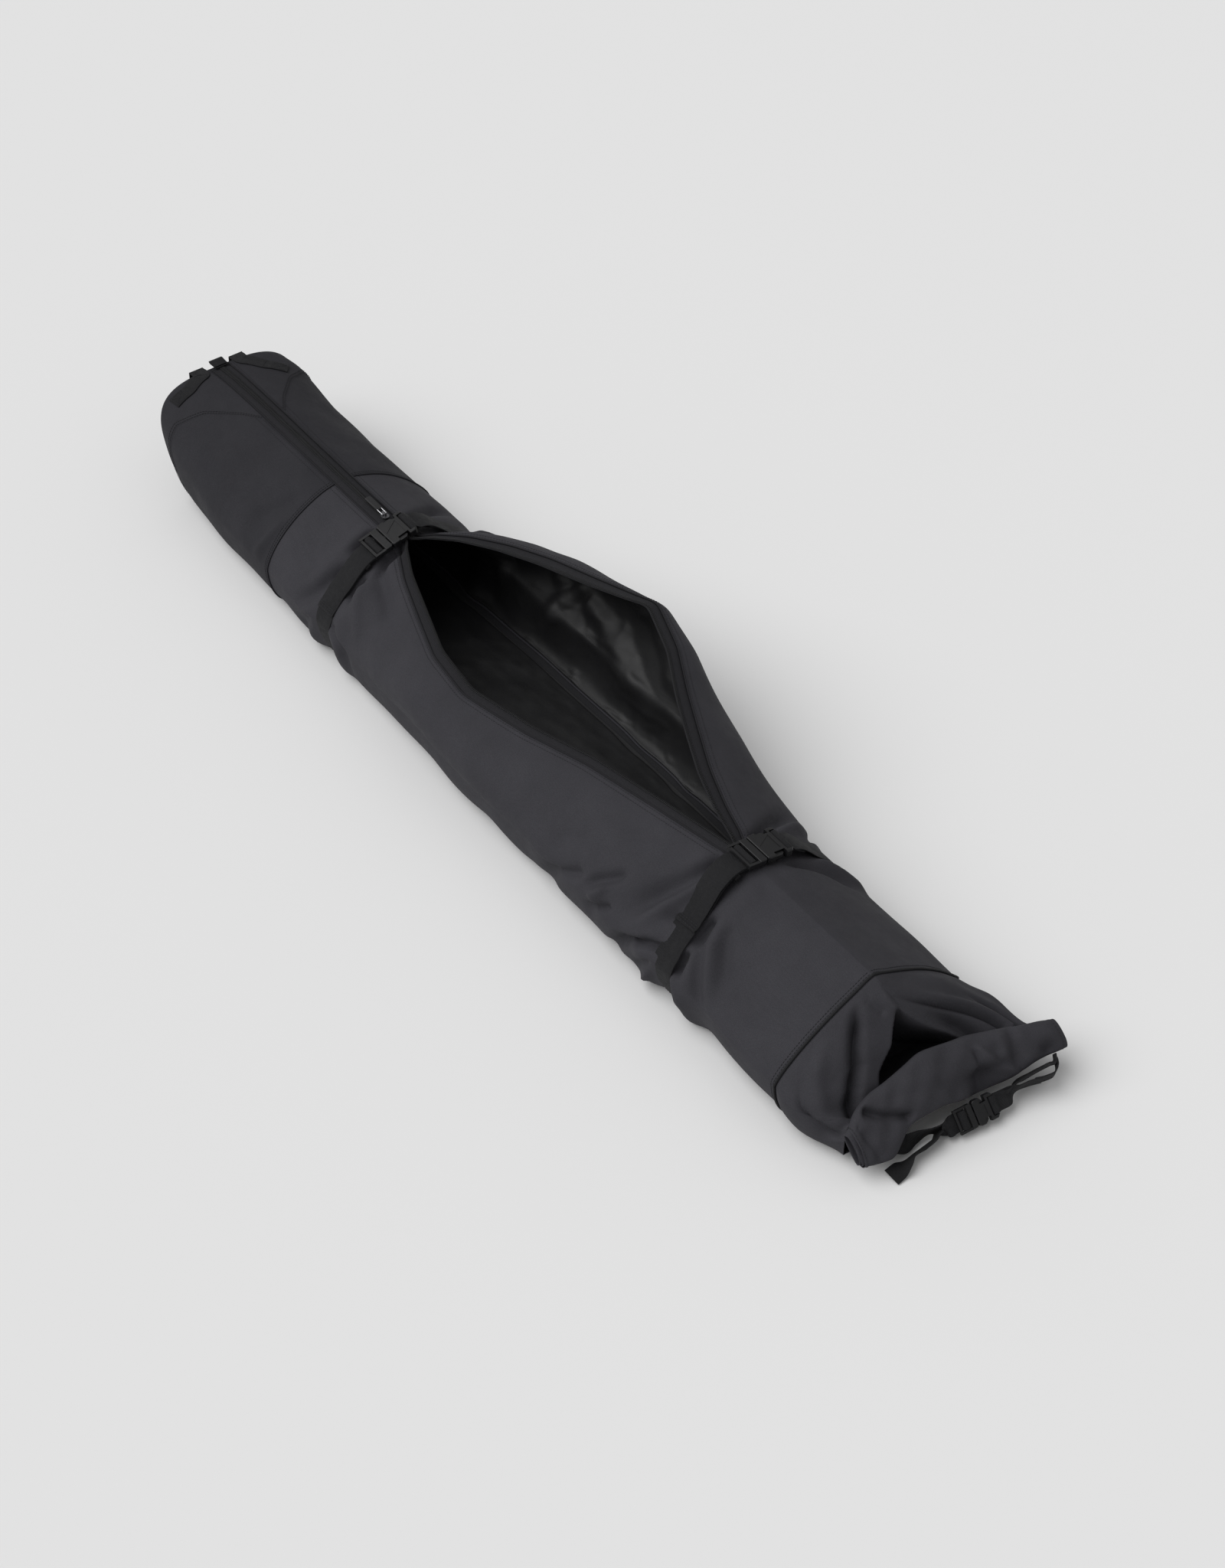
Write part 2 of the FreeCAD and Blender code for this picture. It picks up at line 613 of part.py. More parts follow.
# ---- Haul handle on the closed end -------------------------------------------------------------
def haul_handle():
    """A webbing loop that hangs behind the closed end, and its two sewn-down ends on top."""
    half = ROLL_STRAP / 2
    for name, side in (("left", -1), ("right", 1)):
        points = [outline(x, t, side, -2.5 * STANDOFF) for x, t in HANDLE_ANCHOR]
        faces = [point - outline(x, t, side) for point, (x, t) in zip(points, HANDLE_ANCHOR)]
        rows = []
        for i, (point, face) in enumerate(zip(points, faces)):
            along = points[min(i + 1, len(points) - 1)] - points[max(i - 1, 0)]
            across = face.cross(along)
            rows.append((point, across, along.cross(across)))
        edge = V(HINGE_X + 5, side * HANDLE_LEG, HINGE_Z)
        rows.append((edge, V(0, -1, 0), V(-0.4, 0, 1)))
        save("handle_anchor_" + name, ribbon(rows, ROLL_STRAP))
    loop = box((HINGE_X - 0.8, -HANDLE_LEG - half, HINGE_Z - HANDLE_REACH),
               (HINGE_X + 0.8, HANDLE_LEG + half, HINGE_Z + 2))
    hole = box((HINGE_X - 2, -HANDLE_LEG + half, HINGE_Z - HANDLE_REACH + ROLL_STRAP),
               (HINGE_X + 2, HANDLE_LEG - half, HINGE_Z + 3))
    save("haul_handle", loop.cut(hole))
    low, high = HINGE_Z - HANDLE_REACH - 2.2, HINGE_Z - HANDLE_REACH + ROLL_STRAP + 2.2
    grip = box((HINGE_X - 3.4, -22, low), (HINGE_X + 3.4, 22, high))
    grip = rounded(grip, 1.6, lambda e: e.BoundBox.YLength > 40)
    inside = box((HINGE_X - 1.3, -23, low + 1.7), (HINGE_X + 1.3, 23, high - 1.7))
    save("haul_handle_wrap", grip.cut(inside))


# ---- Collar and rolled end ---------------------------------------------------------------------
def collar_loop(row, inset, shift=0.0):
    x_foot, x_top, tall, broad, dip = row
    half, waist, height = between(SECTIONS, X_SEAM_NEAR)[:3]

    def point(t, side):
        y, z = closed_point(X_SEAM_NEAR, t)
        z = inset + z * (height * tall - 2 * inset) / height
        z -= dip * (1 - y / half) ** 2 * z / (height * tall)
        y *= broad * (half - inset) / half
        return V(x_foot + (x_top - x_foot) * z / (height * tall) + shift, side * y, z)

    shares = girth(0.0, 1.0)
    right, left = [point(t, 1) for t in shares], [point(t, -1) for t in shares]
    right[-1] = left[-1]
    return Part.Wire([spline(right), spline(left[::-1]), Part.makeLine(left[0], right[0])])


def collar():
    outer = loft([collar_loop(row, 0.0) for row in COLLAR])
    past_ends = [-1.5] + [0.0] * (len(COLLAR) - 2) + [1.5]
    inner = loft([collar_loop(row, COLLAR_WALL, shift) for row, shift in zip(COLLAR, past_ends)])
    save("roll_collar", outer.cut(inner))


def roll_bar(broad, thick, cut=0.0):
    """A bar along the rolled end: its breadth and thickness as functions of the roll's own."""
    c, s = math.cos(math.radians(ROLL_TILT)), math.sin(math.radians(ROLL_TILT))
    rows = [list(row) for row in ROLL]
    rows[0][0], rows[-1][0] = rows[0][0] + cut, rows[-1][0] - cut
    wires = []
    for y, x, z, breadth, depth in rows:
        b, t = broad(breadth) / 2, thick(depth) / 2
        k = 0.4 * t
        corners = [(-b, -t + k), (-b + k, -t), (b - k, -t), (b, -t + k)]
        corners += [(b, t - k), (b - k, t), (-b + k, t), (-b, t - k)]
        points = [V(x + p * c + q * s, y, z - p * s + q * c) for p, q in corners]
        wires.append(Part.makePolygon(points + points[:1]))
    return loft(wires)


def rolled_end():
    skin, gap = 2 * ROLL_SKIN, 2 * ROLL_SKIN + 1.0
    shell_outside = roll_bar(lambda b: b, lambda t: t)
    shell_inside = roll_bar(lambda b: b - skin, lambda t: t - skin, ROLL_SKIN)
    save("rolled_top", shell_outside.cut(shell_inside))
    core = roll_bar(lambda b: b - gap, lambda t: t - gap, ROLL_SKIN + 1)
    slot = roll_bar(lambda b: b * 0.55 + 1.0, lambda t: 3.0, ROLL_SKIN + 4)
    save("roll_inner_turns", core.cut(slot))
    save("roll_batten", roll_bar(lambda b: b * 0.55, lambda t: 2.0, ROLL_SKIN + 5))


def roll_strap():
    """The strap that pulls the rolled end's two tips together across its front."""
    along, face = ROLL_BUCKLE_ALONG, ROLL_BUCKLE_FACE
    along.normalize()
    face = (face - along * face.dot(along)).normalize()
    across = face.cross(along)
    origin = ROLL_BUCKLE

    def world(u, v, w):
        return origin + along * u + across * v + face * w

    def row(point, breadth, normal):
        return (point, V(*breadth), V(*normal))

    buckle("roll_buckle", ROLL_STRAP, origin, along, face)
    start = ladder(ROLL_STRAP)[0] - 4
    flat = (tuple(across), tuple(face))
    way = ladder_path(ROLL_STRAP)
    hook = placed(webbing(way, ROLL_STRAP), origin, along, face)
    load = ribbon([
        row(world(start, 0, -0.5), *flat),
        row(world(start - 42, 3, -5), (-0.5, 0.1, 0.85), (0.86, -0.1, 0.5)),
        row(V(866, -110, 19), (-0.6, 0.0, 0.8), (0.8, 0.0, 0.6)),
        row(V(864, -142, 20), (-0.6, 0.0, 0.8), (0.8, 0.0, 0.6)),
    ], ROLL_STRAP)
    tail = ribbon([
        row(world(start, 0, 1.7), *flat),
        row(world(start - 14, -2, 4.5), (-0.75, -0.1, 0.65), (0.6, 0.2, 0.7)),
        row(V(892, -38, 9), (-0.97, 0.1, 0.2), (0.2, 0.2, 0.95)),
        row(V(888, -78, 3), (-0.98, 0.2, 0.0), (0.0, 0.1, 0.99)),
        row(V(880, -100, 2), (-0.98, 0.2, 0.0), (0.0, 0.0, 1.0)),
    ], ROLL_STRAP)
    save("roll_strap_left", hook.fuse(load).fuse(tail).removeSplitter())

    end = buckle_sizes(ROLL_STRAP)["long"] + 5
    way = [(end + 24, 1.2)] + bar_path(ROLL_STRAP) + [(end + 24, 3.4)]
    hook = placed(webbing(way, ROLL_STRAP), origin, along, face)
    load = ribbon([
        row(world(end + 24, 0, 1.2), *flat),
        row(V(893, 168, 30), (-0.6, 0.0, 0.8), (0.8, 0.0, 0.6)),
        row(V(900, 204, 33), (-0.6, 0.0, 0.8), (0.8, 0.0, 0.6)),
    ], ROLL_STRAP)
    save("roll_strap_right", hook.fuse(load).removeSplitter())


def main():
    os.makedirs("parts", exist_ok=True)
    shell()
    closed_end()
    seam_piping("seam_piping_far", X_SEAM_FAR)
    seam_piping("seam_piping_near", X_SEAM_NEAR - 4)
    zip_tapes()
    zip_trim()
    puller(*slider())
    compression_strap("far_strap", X_STRAP_FAR, BUCKLE_FAR)
    compression_strap("near_strap", X_STRAP_NEAR, BUCKLE_NEAR)
    haul_handle()
    collar()
    rolled_end()
    roll_strap()


if __name__ == "__main__":
    main()
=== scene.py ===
"""Soft ski bag with an open top zip: the looks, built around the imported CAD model. Metres throughout.

+X runs along the bag to the rolled end, +Y to its right-hand side and +Z up. Places on the bag's skin are
given as x and t: t goes from the base's edge (0) over the waist and the slope to the ridge or lip (1).
side is -1 on the left and 1 on the right.
"""
import json
import math

import bmesh
import bpy
import numpy as np
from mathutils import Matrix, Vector

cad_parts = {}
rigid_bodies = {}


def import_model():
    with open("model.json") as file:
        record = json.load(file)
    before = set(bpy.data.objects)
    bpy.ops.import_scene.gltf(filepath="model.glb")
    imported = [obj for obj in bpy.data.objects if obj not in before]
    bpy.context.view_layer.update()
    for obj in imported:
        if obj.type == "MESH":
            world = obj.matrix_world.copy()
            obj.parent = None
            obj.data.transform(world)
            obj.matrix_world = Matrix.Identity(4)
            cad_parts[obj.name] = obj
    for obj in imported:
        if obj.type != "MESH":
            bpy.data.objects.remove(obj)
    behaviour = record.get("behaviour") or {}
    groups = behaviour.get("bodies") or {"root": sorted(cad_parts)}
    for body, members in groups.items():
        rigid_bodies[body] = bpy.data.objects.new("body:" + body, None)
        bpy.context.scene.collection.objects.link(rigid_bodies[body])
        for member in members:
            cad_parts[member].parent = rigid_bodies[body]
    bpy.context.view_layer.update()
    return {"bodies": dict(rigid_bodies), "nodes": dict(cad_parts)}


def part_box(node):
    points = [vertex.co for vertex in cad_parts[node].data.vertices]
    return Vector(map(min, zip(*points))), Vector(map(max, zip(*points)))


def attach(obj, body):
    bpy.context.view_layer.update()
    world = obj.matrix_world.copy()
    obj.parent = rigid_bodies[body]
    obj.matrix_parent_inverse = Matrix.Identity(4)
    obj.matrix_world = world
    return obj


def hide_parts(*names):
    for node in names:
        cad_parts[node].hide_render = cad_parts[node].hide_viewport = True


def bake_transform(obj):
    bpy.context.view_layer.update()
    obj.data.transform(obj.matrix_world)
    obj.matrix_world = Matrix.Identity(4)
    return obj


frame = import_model()
NODES = frame["nodes"]

# ---- The bag's outline --------------------------------------------------------------------------
X_END, X_SEAM_FAR, X_MOUTH_FAR = -0.872, -0.505, -0.335
X_MOUTH_NEAR, X_SEAM_NEAR = 0.450, 0.730
MOUTH_EASE = 0.02       # the length over which the mouth opens at each of its ends
BOTH_SIDES = (("left", -1), ("right", 1))
X_STRAPS = {"far_strap": -0.350, "near_strap": 0.475}
STRAP_LEAN = {"far_strap": 0.006, "near_strap": 0.024}      # how far the left side's foot stands off
HEM_HALF = 0.0155       # half width of the zip between the panels' hems
END_SLANT, X_SLANT = 0.066, -0.640
T_WAIST, T_ZIP = 0.30, 0.915
T_STEP = 0.01           # step in t over which the skin's slope is measured
GIRTH = 0.245           # length of the skin from t = 0 to t = 1
FAR = 9.0               # farther than any place on the bag

# x, half width, waist height, height, base half width, squareness
SECTIONS = np.array([
    (X_END, 0.121, 0.086, 0.169, 0.088, 3.6),
    (-0.840, 0.131, 0.080, 0.175, 0.100, 2.8),
    (-0.760, 0.137, 0.074, 0.178, 0.106, 2.0),
    (X_SLANT, 0.143, 0.071, 0.178, 0.110, 1.6),
    (X_SEAM_FAR, 0.147, 0.070, 0.178, 0.112, 1.5),
    (X_MOUTH_FAR, 0.147, 0.070, 0.178, 0.112, 1.5),
    (0.060, 0.158, 0.070, 0.178, 0.122, 1.5),
    (0.360, 0.157, 0.070, 0.178, 0.121, 1.5),
    (0.445, 0.153, 0.070, 0.178, 0.117, 1.5),
    (0.500, 0.151, 0.070, 0.178, 0.115, 1.40),
    (0.580, 0.151, 0.070, 0.178, 0.115, 1.26),
    (X_SEAM_NEAR, 0.151, 0.070, 0.178, 0.115, 1.22),
])

# Lips of the open zip: x, y and z of the panel's top edge, and how far the panel bellies out below it
LIP = {
    1: np.array([
        (X_MOUTH_FAR, 0.000, 0.178, 0.010), (-0.280, 0.050, 0.184, 0.022), (-0.220, 0.082, 0.190, 0.034),
        (-0.150, 0.106, 0.199, 0.040), (-0.060, 0.126, 0.213, 0.038), (0.005, 0.143, 0.224, 0.030),
        (0.042, 0.158, 0.228, 0.024), (0.127, 0.128, 0.221, 0.024), (0.200, 0.088, 0.212, 0.024),
        (0.263, 0.058, 0.205, 0.022), (0.325, 0.031, 0.196, 0.016), (0.385, 0.013, 0.187, 0.008),
        (X_MOUTH_NEAR, 0.000, 0.178, 0.0),
    ]),
    -1: np.array([
        (X_MOUTH_FAR, 0.000, 0.178, 0.0), (-0.270, -0.031, 0.168, 0.004), (-0.194, -0.055, 0.160, 0.010),
        (-0.118, -0.080, 0.155, 0.012), (-0.030, -0.088, 0.150, 0.012), (0.086, -0.064, 0.152, 0.010),
        (0.189, -0.036, 0.158, 0.006), (0.304, -0.018, 0.165, 0.002), (0.404, -0.005, 0.174, 0.0),
        (X_MOUTH_NEAR, 0.000, 0.178, 0.0),
    ]),
}

# Folds in the outer fabric: side, height before the gain (negative for a valley), half width, then its
# line as (x, t)
FOLD_GAIN = 2.0
FOLDS = [
    (-1, -0.008, 0.015, (0.456, 0.88), (0.431, 0.68), (0.387, 0.44)),
    (-1, 0.005, 0.010, (0.463, 0.86), (0.455, 0.68), (0.425, 0.50), (0.395, 0.36)),
    (-1, -0.004, 0.005, (0.486, 0.63), (0.447, 0.57)),
    (-1, -0.009, 0.008, (0.487, 0.47), (0.449, 0.42), (0.400, 0.25), (0.351, 0.04)),
    (-1, -0.004, 0.006, (0.462, 0.30), (0.425, 0.17)),
    (-1, 0.003, 0.005, (0.462, 0.22), (0.435, 0.10)),
    (-1, -0.005, 0.013, (0.305, 0.48), (0.262, 0.33), (0.197, 0.03)),
    (-1, -0.005, 0.009, (0.362, 0.60), (0.333, 0.50), (0.312, 0.38)),
    (-1, -0.005, 0.009, (0.370, 0.43), (0.345, 0.33), (0.322, 0.22)),
    (-1, 0.004, 0.010, (0.350, 0.50), (0.330, 0.36)),
    (-1, -0.002, 0.012, (0.281, 0.64), (0.223, 0.49)),
    (-1, -0.002, 0.012, (0.361, 0.82), (0.311, 0.71)),
    (-1, -0.010, 0.010, (0.505, 0.68), (0.508, 0.60), (0.508, 0.53)),
    (-1, -0.010, 0.009, (0.507, 0.52), (0.508, 0.44), (0.508, 0.36)),
    (-1, -0.004, 0.009, (0.532, 0.69), (0.560, 0.60), (0.594, 0.48)),
    (-1, 0.004, 0.009, (0.530, 0.63), (0.556, 0.52), (0.585, 0.40)),
    (-1, -0.004, 0.009, (0.522, 0.58), (0.545, 0.45), (0.576, 0.28)),
    (-1, 0.003, 0.009, (0.512, 0.34), (0.540, 0.20)),
    (-1, -0.007, 0.013, (-0.366, 0.66), (-0.385, 0.50), (-0.417, 0.30)),
    (-1, -0.009, 0.008, (-0.322, 0.70), (-0.322, 0.63), (-0.324, 0.56)),
    (-1, -0.006, 0.016, (-0.318, 0.78), (-0.256, 0.775), (-0.205, 0.73)),
    (-1, 0.004, 0.012, (-0.322, 0.68), (-0.285, 0.60), (-0.250, 0.48)),
    (-1, -0.010, 0.008, (-0.322, 0.93), (-0.320, 0.84), (-0.320, 0.75)),
    (-1, -0.008, 0.008, (-0.378, 0.87), (-0.378, 0.79), (-0.376, 0.70)),
    (-1, -0.004, 0.010, (-0.325, 0.42), (-0.290, 0.30), (-0.270, 0.12)),
    (-1, -0.004, 0.012, (-0.380, 0.30), (-0.420, 0.14)),
    (-1, 0.003, 0.010, (-0.520, 0.62), (-0.545, 0.30)),
    (-1, -0.003, 0.014, (-0.530, 0.74), (-0.590, 0.44)),
    (1, -0.007, 0.011, (0.448, 0.86), (0.420, 0.70), (0.392, 0.50)),
    (1, 0.004, 0.010, (0.452, 0.78), (0.430, 0.60), (0.415, 0.45)),
    (1, -0.006, 0.010, (0.502, 0.80), (0.520, 0.62), (0.548, 0.44)),
    (1, 0.003, 0.010, (0.500, 0.62), (0.525, 0.45), (0.545, 0.25)),
    (1, -0.005, 0.009, (0.447, 0.50), (0.415, 0.34), (0.390, 0.12)),
    (1, -0.007, 0.011, (-0.322, 0.84), (-0.285, 0.72), (-0.255, 0.55)),
    (1, -0.006, 0.010, (-0.378, 0.84), (-0.400, 0.68), (-0.425, 0.48)),
    (1, -0.004, 0.010, (-0.325, 0.52), (-0.300, 0.35), (-0.285, 0.12)),
    (1, 0.004, 0.010, (-0.322, 0.66), (-0.290, 0.52), (-0.270, 0.34)),
    (1, -0.004, 0.012, (0.100, 0.62), (0.150, 0.42), (0.170, 0.15)),
    (1, -0.004, 0.013, (-0.140, 0.55), (-0.170, 0.36), (-0.175, 0.12)),
]

# How far the fabric swells on both flanks of a strap
PUFF = {-1: 0.0055, 1: 0.0015}
# Long shallow waves all over: their numbers along x and t, phase and height
WAVES = [(17, 5, 0.3, 0.0012), (29, -9, 1.9, 0.0009), (47, 13, 4.1, 0.0006)]

# Where the base's seam draws the side in or lets it out: x, half width, and how far outwards
BASE_WAVES = [(-0.480, 0.030, -0.003), (-0.341, 0.025, -0.005), (-0.160, 0.060, 0.002), (0.080, 0.030, -0.003),
              (0.189, 0.020, -0.003), (0.413, 0.020, -0.004), (0.478, 0.028, -0.007), (0.574, 0.028, -0.005),
              (0.530, 0.022, 0.004), (-0.660, 0.050, -0.002)]


def smooth(share):
    share = np.clip(share, 0.0, 1.0)
    return share * share * (3.0 - 2.0 * share)


def bell(value, centre, width):
    return np.exp(-(((value - centre) / width) ** 2))


def unit(vectors):
    return vectors / np.maximum(np.linalg.norm(vectors, axis=-1, keepdims=True), 1e-12)


def rounded_table(table, x, reach=0.03):
    """A table's columns at x, with its corners rounded over about reach metres."""
    x = np.asarray(x, float)
    offsets = np.linspace(-1.5, 1.5, 9)
    weights = np.exp(-offsets ** 2)
    weights /= weights.sum()
    columns = []
    for column in table.T[1:]:
        mixed = sum(w * np.interp(x + o * reach, table[:, 0], column) for o, w in zip(offsets, weights))
        columns.append(mixed)
    return columns


def skin(x, t, side, depth=0.0):
    """Points of the skin without its folds at x and t, depth metres inside it, in shape (..., 3)."""
    x, t = np.broadcast_arrays(np.asarray(x, float), np.asarray(t, float))

    half, waist, height, base, power = rounded_table(SECTIONS, x)
    hem = T_WAIST + (1 - T_WAIST) * 2 / math.pi * np.arccos((HEM_HALF / half) ** (power / 2))
    hem = hem + (T_ZIP - hem) * smooth((x - X_MOUTH_FAR + MOUTH_EASE) / MOUTH_EASE)

    def flat(t):
        t = np.clip(t, 0.0, 1.0)
        t = np.where(t < T_ZIP, t * hem / T_ZIP, 1 - (1 - t) * (1 - hem) / (1 - T_ZIP))
        low = math.pi / 2 * (1 - t / T_WAIST)
        share = (t - T_WAIST) / (1 - T_WAIST)
        high = math.pi / 2 * np.clip(share, 0.0, 1.0)
        cos, sin = np.clip(np.cos(high), 0, 1), np.sin(high)
        y = np.where(share < 0, base + (half - base) * np.cos(low), half * cos ** (2 / power))
        z = np.where(share < 0, waist * (1 - np.sin(low)), waist + (height - waist) * sin ** (2 / power))
        lip_y, lip_z, belly = rounded_table(LIP[side], x, 0.012)
        open_here = smooth((x - X_MOUTH_FAR) / MOUTH_EASE) * smooth((X_MOUTH_NEAR - x) / MOUTH_EASE)
        pull = smooth(share) * open_here
        y = side * y + pull * lip_y + side * belly * open_here * np.sin(math.pi * np.clip(share, 0, 1))
        return y, z + pull * (lip_z - height)

    y0, z0 = flat(t - T_STEP)
    y1, z1 = flat(t + T_STEP)
    length = np.hypot(y1 - y0, z1 - z0) + 1e-9
    y, z = flat(t)
    y = y - depth * side * (z1 - z0) / length
    z = z + depth * side * (y1 - y0) / length
    slant = END_SLANT * np.clip((X_SLANT - x) / (X_SLANT - X_END), 0, 1)
    return np.stack([x + slant * (1 - z / height), y, z], -1)


def nearest(a, b, line):
    """How far each (a, b) is from a line of places, and at which share of its length it is nearest."""
    line = np.asarray(line, float)
    lengths = np.linalg.norm(np.diff(line, axis=0), axis=1)
    near, run = np.full(a.shape, FAR), np.zeros(a.shape)
    for (a0, b0), (a1, b1), length, start in zip(line, line[1:], lengths, lengths_along(line)):
        share = np.clip(((a - a0) * (a1 - a0) + (b - b0) * (b1 - b0)) / length ** 2, 0, 1)
        away = np.hypot(a - a0 - share * (a1 - a0), b - b0 - share * (b1 - b0))
        run = np.where(away < near, (start + share * length) / lengths.sum(), run)
        near = np.minimum(away, near)
    return near, run


def crease(x, t, line, width):
    """How strongly a fold along a line of (x, t) places shows at x and t: 1 on the line, 0 far from it."""
    near, run = nearest(x, t * GIRTH, np.array(line) * (1.0, GIRTH))
    fade = smooth(run / 0.08 + 0.4) * smooth((1.0 - run) / 0.45)
    return fade * bell(near, 0.0, width * (0.65 + 0.6 * run))


def strap_line(name, t, side):
    """Where the middle of a compression strap crosses the skin at t."""
    return X_STRAPS[name] + STRAP_LEAN[name] * np.clip(1 - t / 0.9, 0, 1) * (side < 0)


def folds(x, t, side):
    """Height of the fabric's folds over the plain skin, in metres."""
    lift = np.zeros(x.shape)
    for fold_side, height, width, *line in FOLDS:
        if fold_side == side:
            lift += FOLD_GAIN * height * crease(x, t, line, width)
    body = smooth(t / 0.12) * smooth((0.93 - t) / 0.10)
    puff = PUFF[side]
    for name in X_STRAPS:
        away = np.abs(x - strap_line(name, t, side))
        lift *= 1 - 0.85 * bell(away, 0.0, 0.016)
        lift += body * (puff * bell(away, 0.042, 0.018) - 0.0020 * bell(away, 0.0, 0.018))
    for wave, (kx, kt, phase, size) in enumerate(WAVES):
        lift += body * size * np.sin(kx * x + kt * t * (1 + 0.2 * side) + phase * (2 + side) + wave)
    return lift * smooth((x - X_END) / 0.04)


def base_edge_shift(x, t):
    """How far outwards the side stands near its bottom edge, because of the base's seam."""
    shift = sum(size * bell(x, centre, width) for centre, width, size in BASE_WAVES)
    return shift * smooth((0.42 - t) / 0.42)


# ---- Mesh tools ---------------------------------------------------------------------------------
def new_object(name, verts, faces, material=None, smooth_shade=True):
    mesh = bpy.data.meshes.new(name)
    mesh.from_pydata(np.asarray(verts, float).tolist(), [], [tuple(map(int, f)) for f in faces])
    mesh.validate()
    mesh.polygons.foreach_set("use_smooth", [smooth_shade] * len(mesh.polygons))
    if material:
        mesh.materials.append(material)
    obj = bpy.data.objects.new(name, mesh)
    bpy.context.scene.collection.objects.link(obj)
    return obj


def grid_faces(rows, columns, wrap=False, start=0):
    faces = []
    for i in range(rows - 1):
        for j in range(columns if wrap else columns - 1):
            k = (j + 1) % columns
            faces.append((start + i * columns + j, start + i * columns + k,
                          start + (i + 1) * columns + k, start + (i + 1) * columns + j))
    return faces


def join(shapes):
    """One list of verts and one of faces from several (verts, faces) pairs."""
    verts, faces, start = [], [], 0
    for some_verts, some_faces in shapes:
        verts.append(np.asarray(some_verts, float).reshape(-1, 3))
        faces += [tuple(k + start for k in face) for face in some_faces]
        start += len(verts[-1])
    return np.concatenate(verts), faces


def faces_outwards(obj, weld=False):
    """Turn a mesh's faces outwards, and with weld first join the points that lie together."""
    bm = bmesh.new()
    bm.from_mesh(obj.data)
    if weld:
        bmesh.ops.remove_doubles(bm, verts=bm.verts, dist=1e-5)
    bmesh.ops.recalc_face_normals(bm, faces=bm.faces)
    bm.to_mesh(obj.data)
    bm.free()


def thicken(obj, thickness, offset=-1.0):
    """Give a sheet its thickness: inwards by default, half to each side with offset 0."""
    wall = obj.modifiers.new("Solidify", "SOLIDIFY")
    wall.thickness, wall.offset, wall.use_even_offset = thickness, offset, False


def part(obj, body, slot, *nodes):
    """Say which body a piece rides on and hide the CAD nodes that it stands for. The slot argument is not used."""
    if nodes:
        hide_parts(*nodes)
    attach(obj, body)
    return obj


def piece(name, verts, faces, material, body, slot, *nodes, wall=0.0, offset=-1.0):
    """A whole piece: its mesh, its wall if it is a sheet, and what part() says of it."""
    obj = new_object(name, verts, faces, material)
    faces_outwards(obj)
    if wall:
        thicken(obj, wall, offset)
    return part(obj, body, slot, *nodes)


def lengths_along(points):
    """The length of a line of points up to each of them."""
    return np.concatenate([[0.0], np.cumsum(np.linalg.norm(np.diff(points, axis=0), axis=1))])


def read_off(values, run, places):
    """Rows of values, known at the lengths run, read off at other places."""
    return np.stack([np.interp(places, run, column) for column in values.T], -1)


def squarer(wave, power):
    """A sine or cosine with a power under 1, which draws a rounded rectangle instead of a circle."""
    return np.sign(wave) * np.abs(wave) ** power


def smooth_curve(points, count):
    """A smooth line through a few rows of numbers, as count rows."""
    points = np.asarray(points, float)
    gaps = np.linalg.norm(np.diff(points[:, :3], axis=0), axis=1)
    knots = np.concatenate([[0.0], np.cumsum(np.maximum(gaps, 1e-6))])
    slopes = np.gradient(points, knots, axis=0)
    at = np.linspace(0, knots[-1], count)
    i = np.clip(np.searchsorted(knots, at, side="right") - 1, 0, len(points) - 2)
    h = (knots[i + 1] - knots[i])[:, None]
    s = ((at - knots[i]) / h[:, 0])[:, None]
    start = (1 + 2 * s) * (1 - s) ** 2 * points[i] + s * (1 - s) ** 2 * h * slopes[i]
    return start + s * s * (3 - 2 * s) * points[i + 1] + s * s * (s - 1) * h * slopes[i + 1]


def capped_tube(rows, columns):
    """The faces of a closed tube of rows rings, with a face over each end."""
    last = (rows - 1) * columns
    ends = [tuple(range(columns))[::-1], tuple(range(last, last + columns))]
    return grid_faces(rows, columns, wrap=True) + ends


def circle(turn, first, second):
    """Unit rings round each row, in the plane of two directions."""
    return np.cos(turn)[None, :, None] * first[:, None] + np.sin(turn)[None, :, None] * second[:, None]


def tube(points, radius, sides=8):
    """Verts and faces of a round rib along points."""
    ahead = unit(np.gradient(points, axis=0))
    side = unit(np.cross(ahead, (0.3, 0.2, 1.0)))
    turn = np.linspace(0, 2 * math.pi, sides, endpoint=False)
    rings = points[:, None] + radius * circle(turn, side, np.cross(side, ahead))
    return rings.reshape(-1, 3), capped_tube(len(points), sides)


def band_frame(centres, across, closed=False):
    """Unit vectors along, across and out of a strip at each of its centres."""
    if closed:
        ahead = unit(np.roll(centres, -1, 0) - np.roll(centres, 1, 0))
    else:
        ahead = unit(np.gradient(centres, axis=0))
    across = np.broadcast_to(np.asarray(across, float), centres.shape)
    across = unit(across - ahead * np.sum(across * ahead, -1, keepdims=True))
    return ahead, across, np.cross(ahead, across)


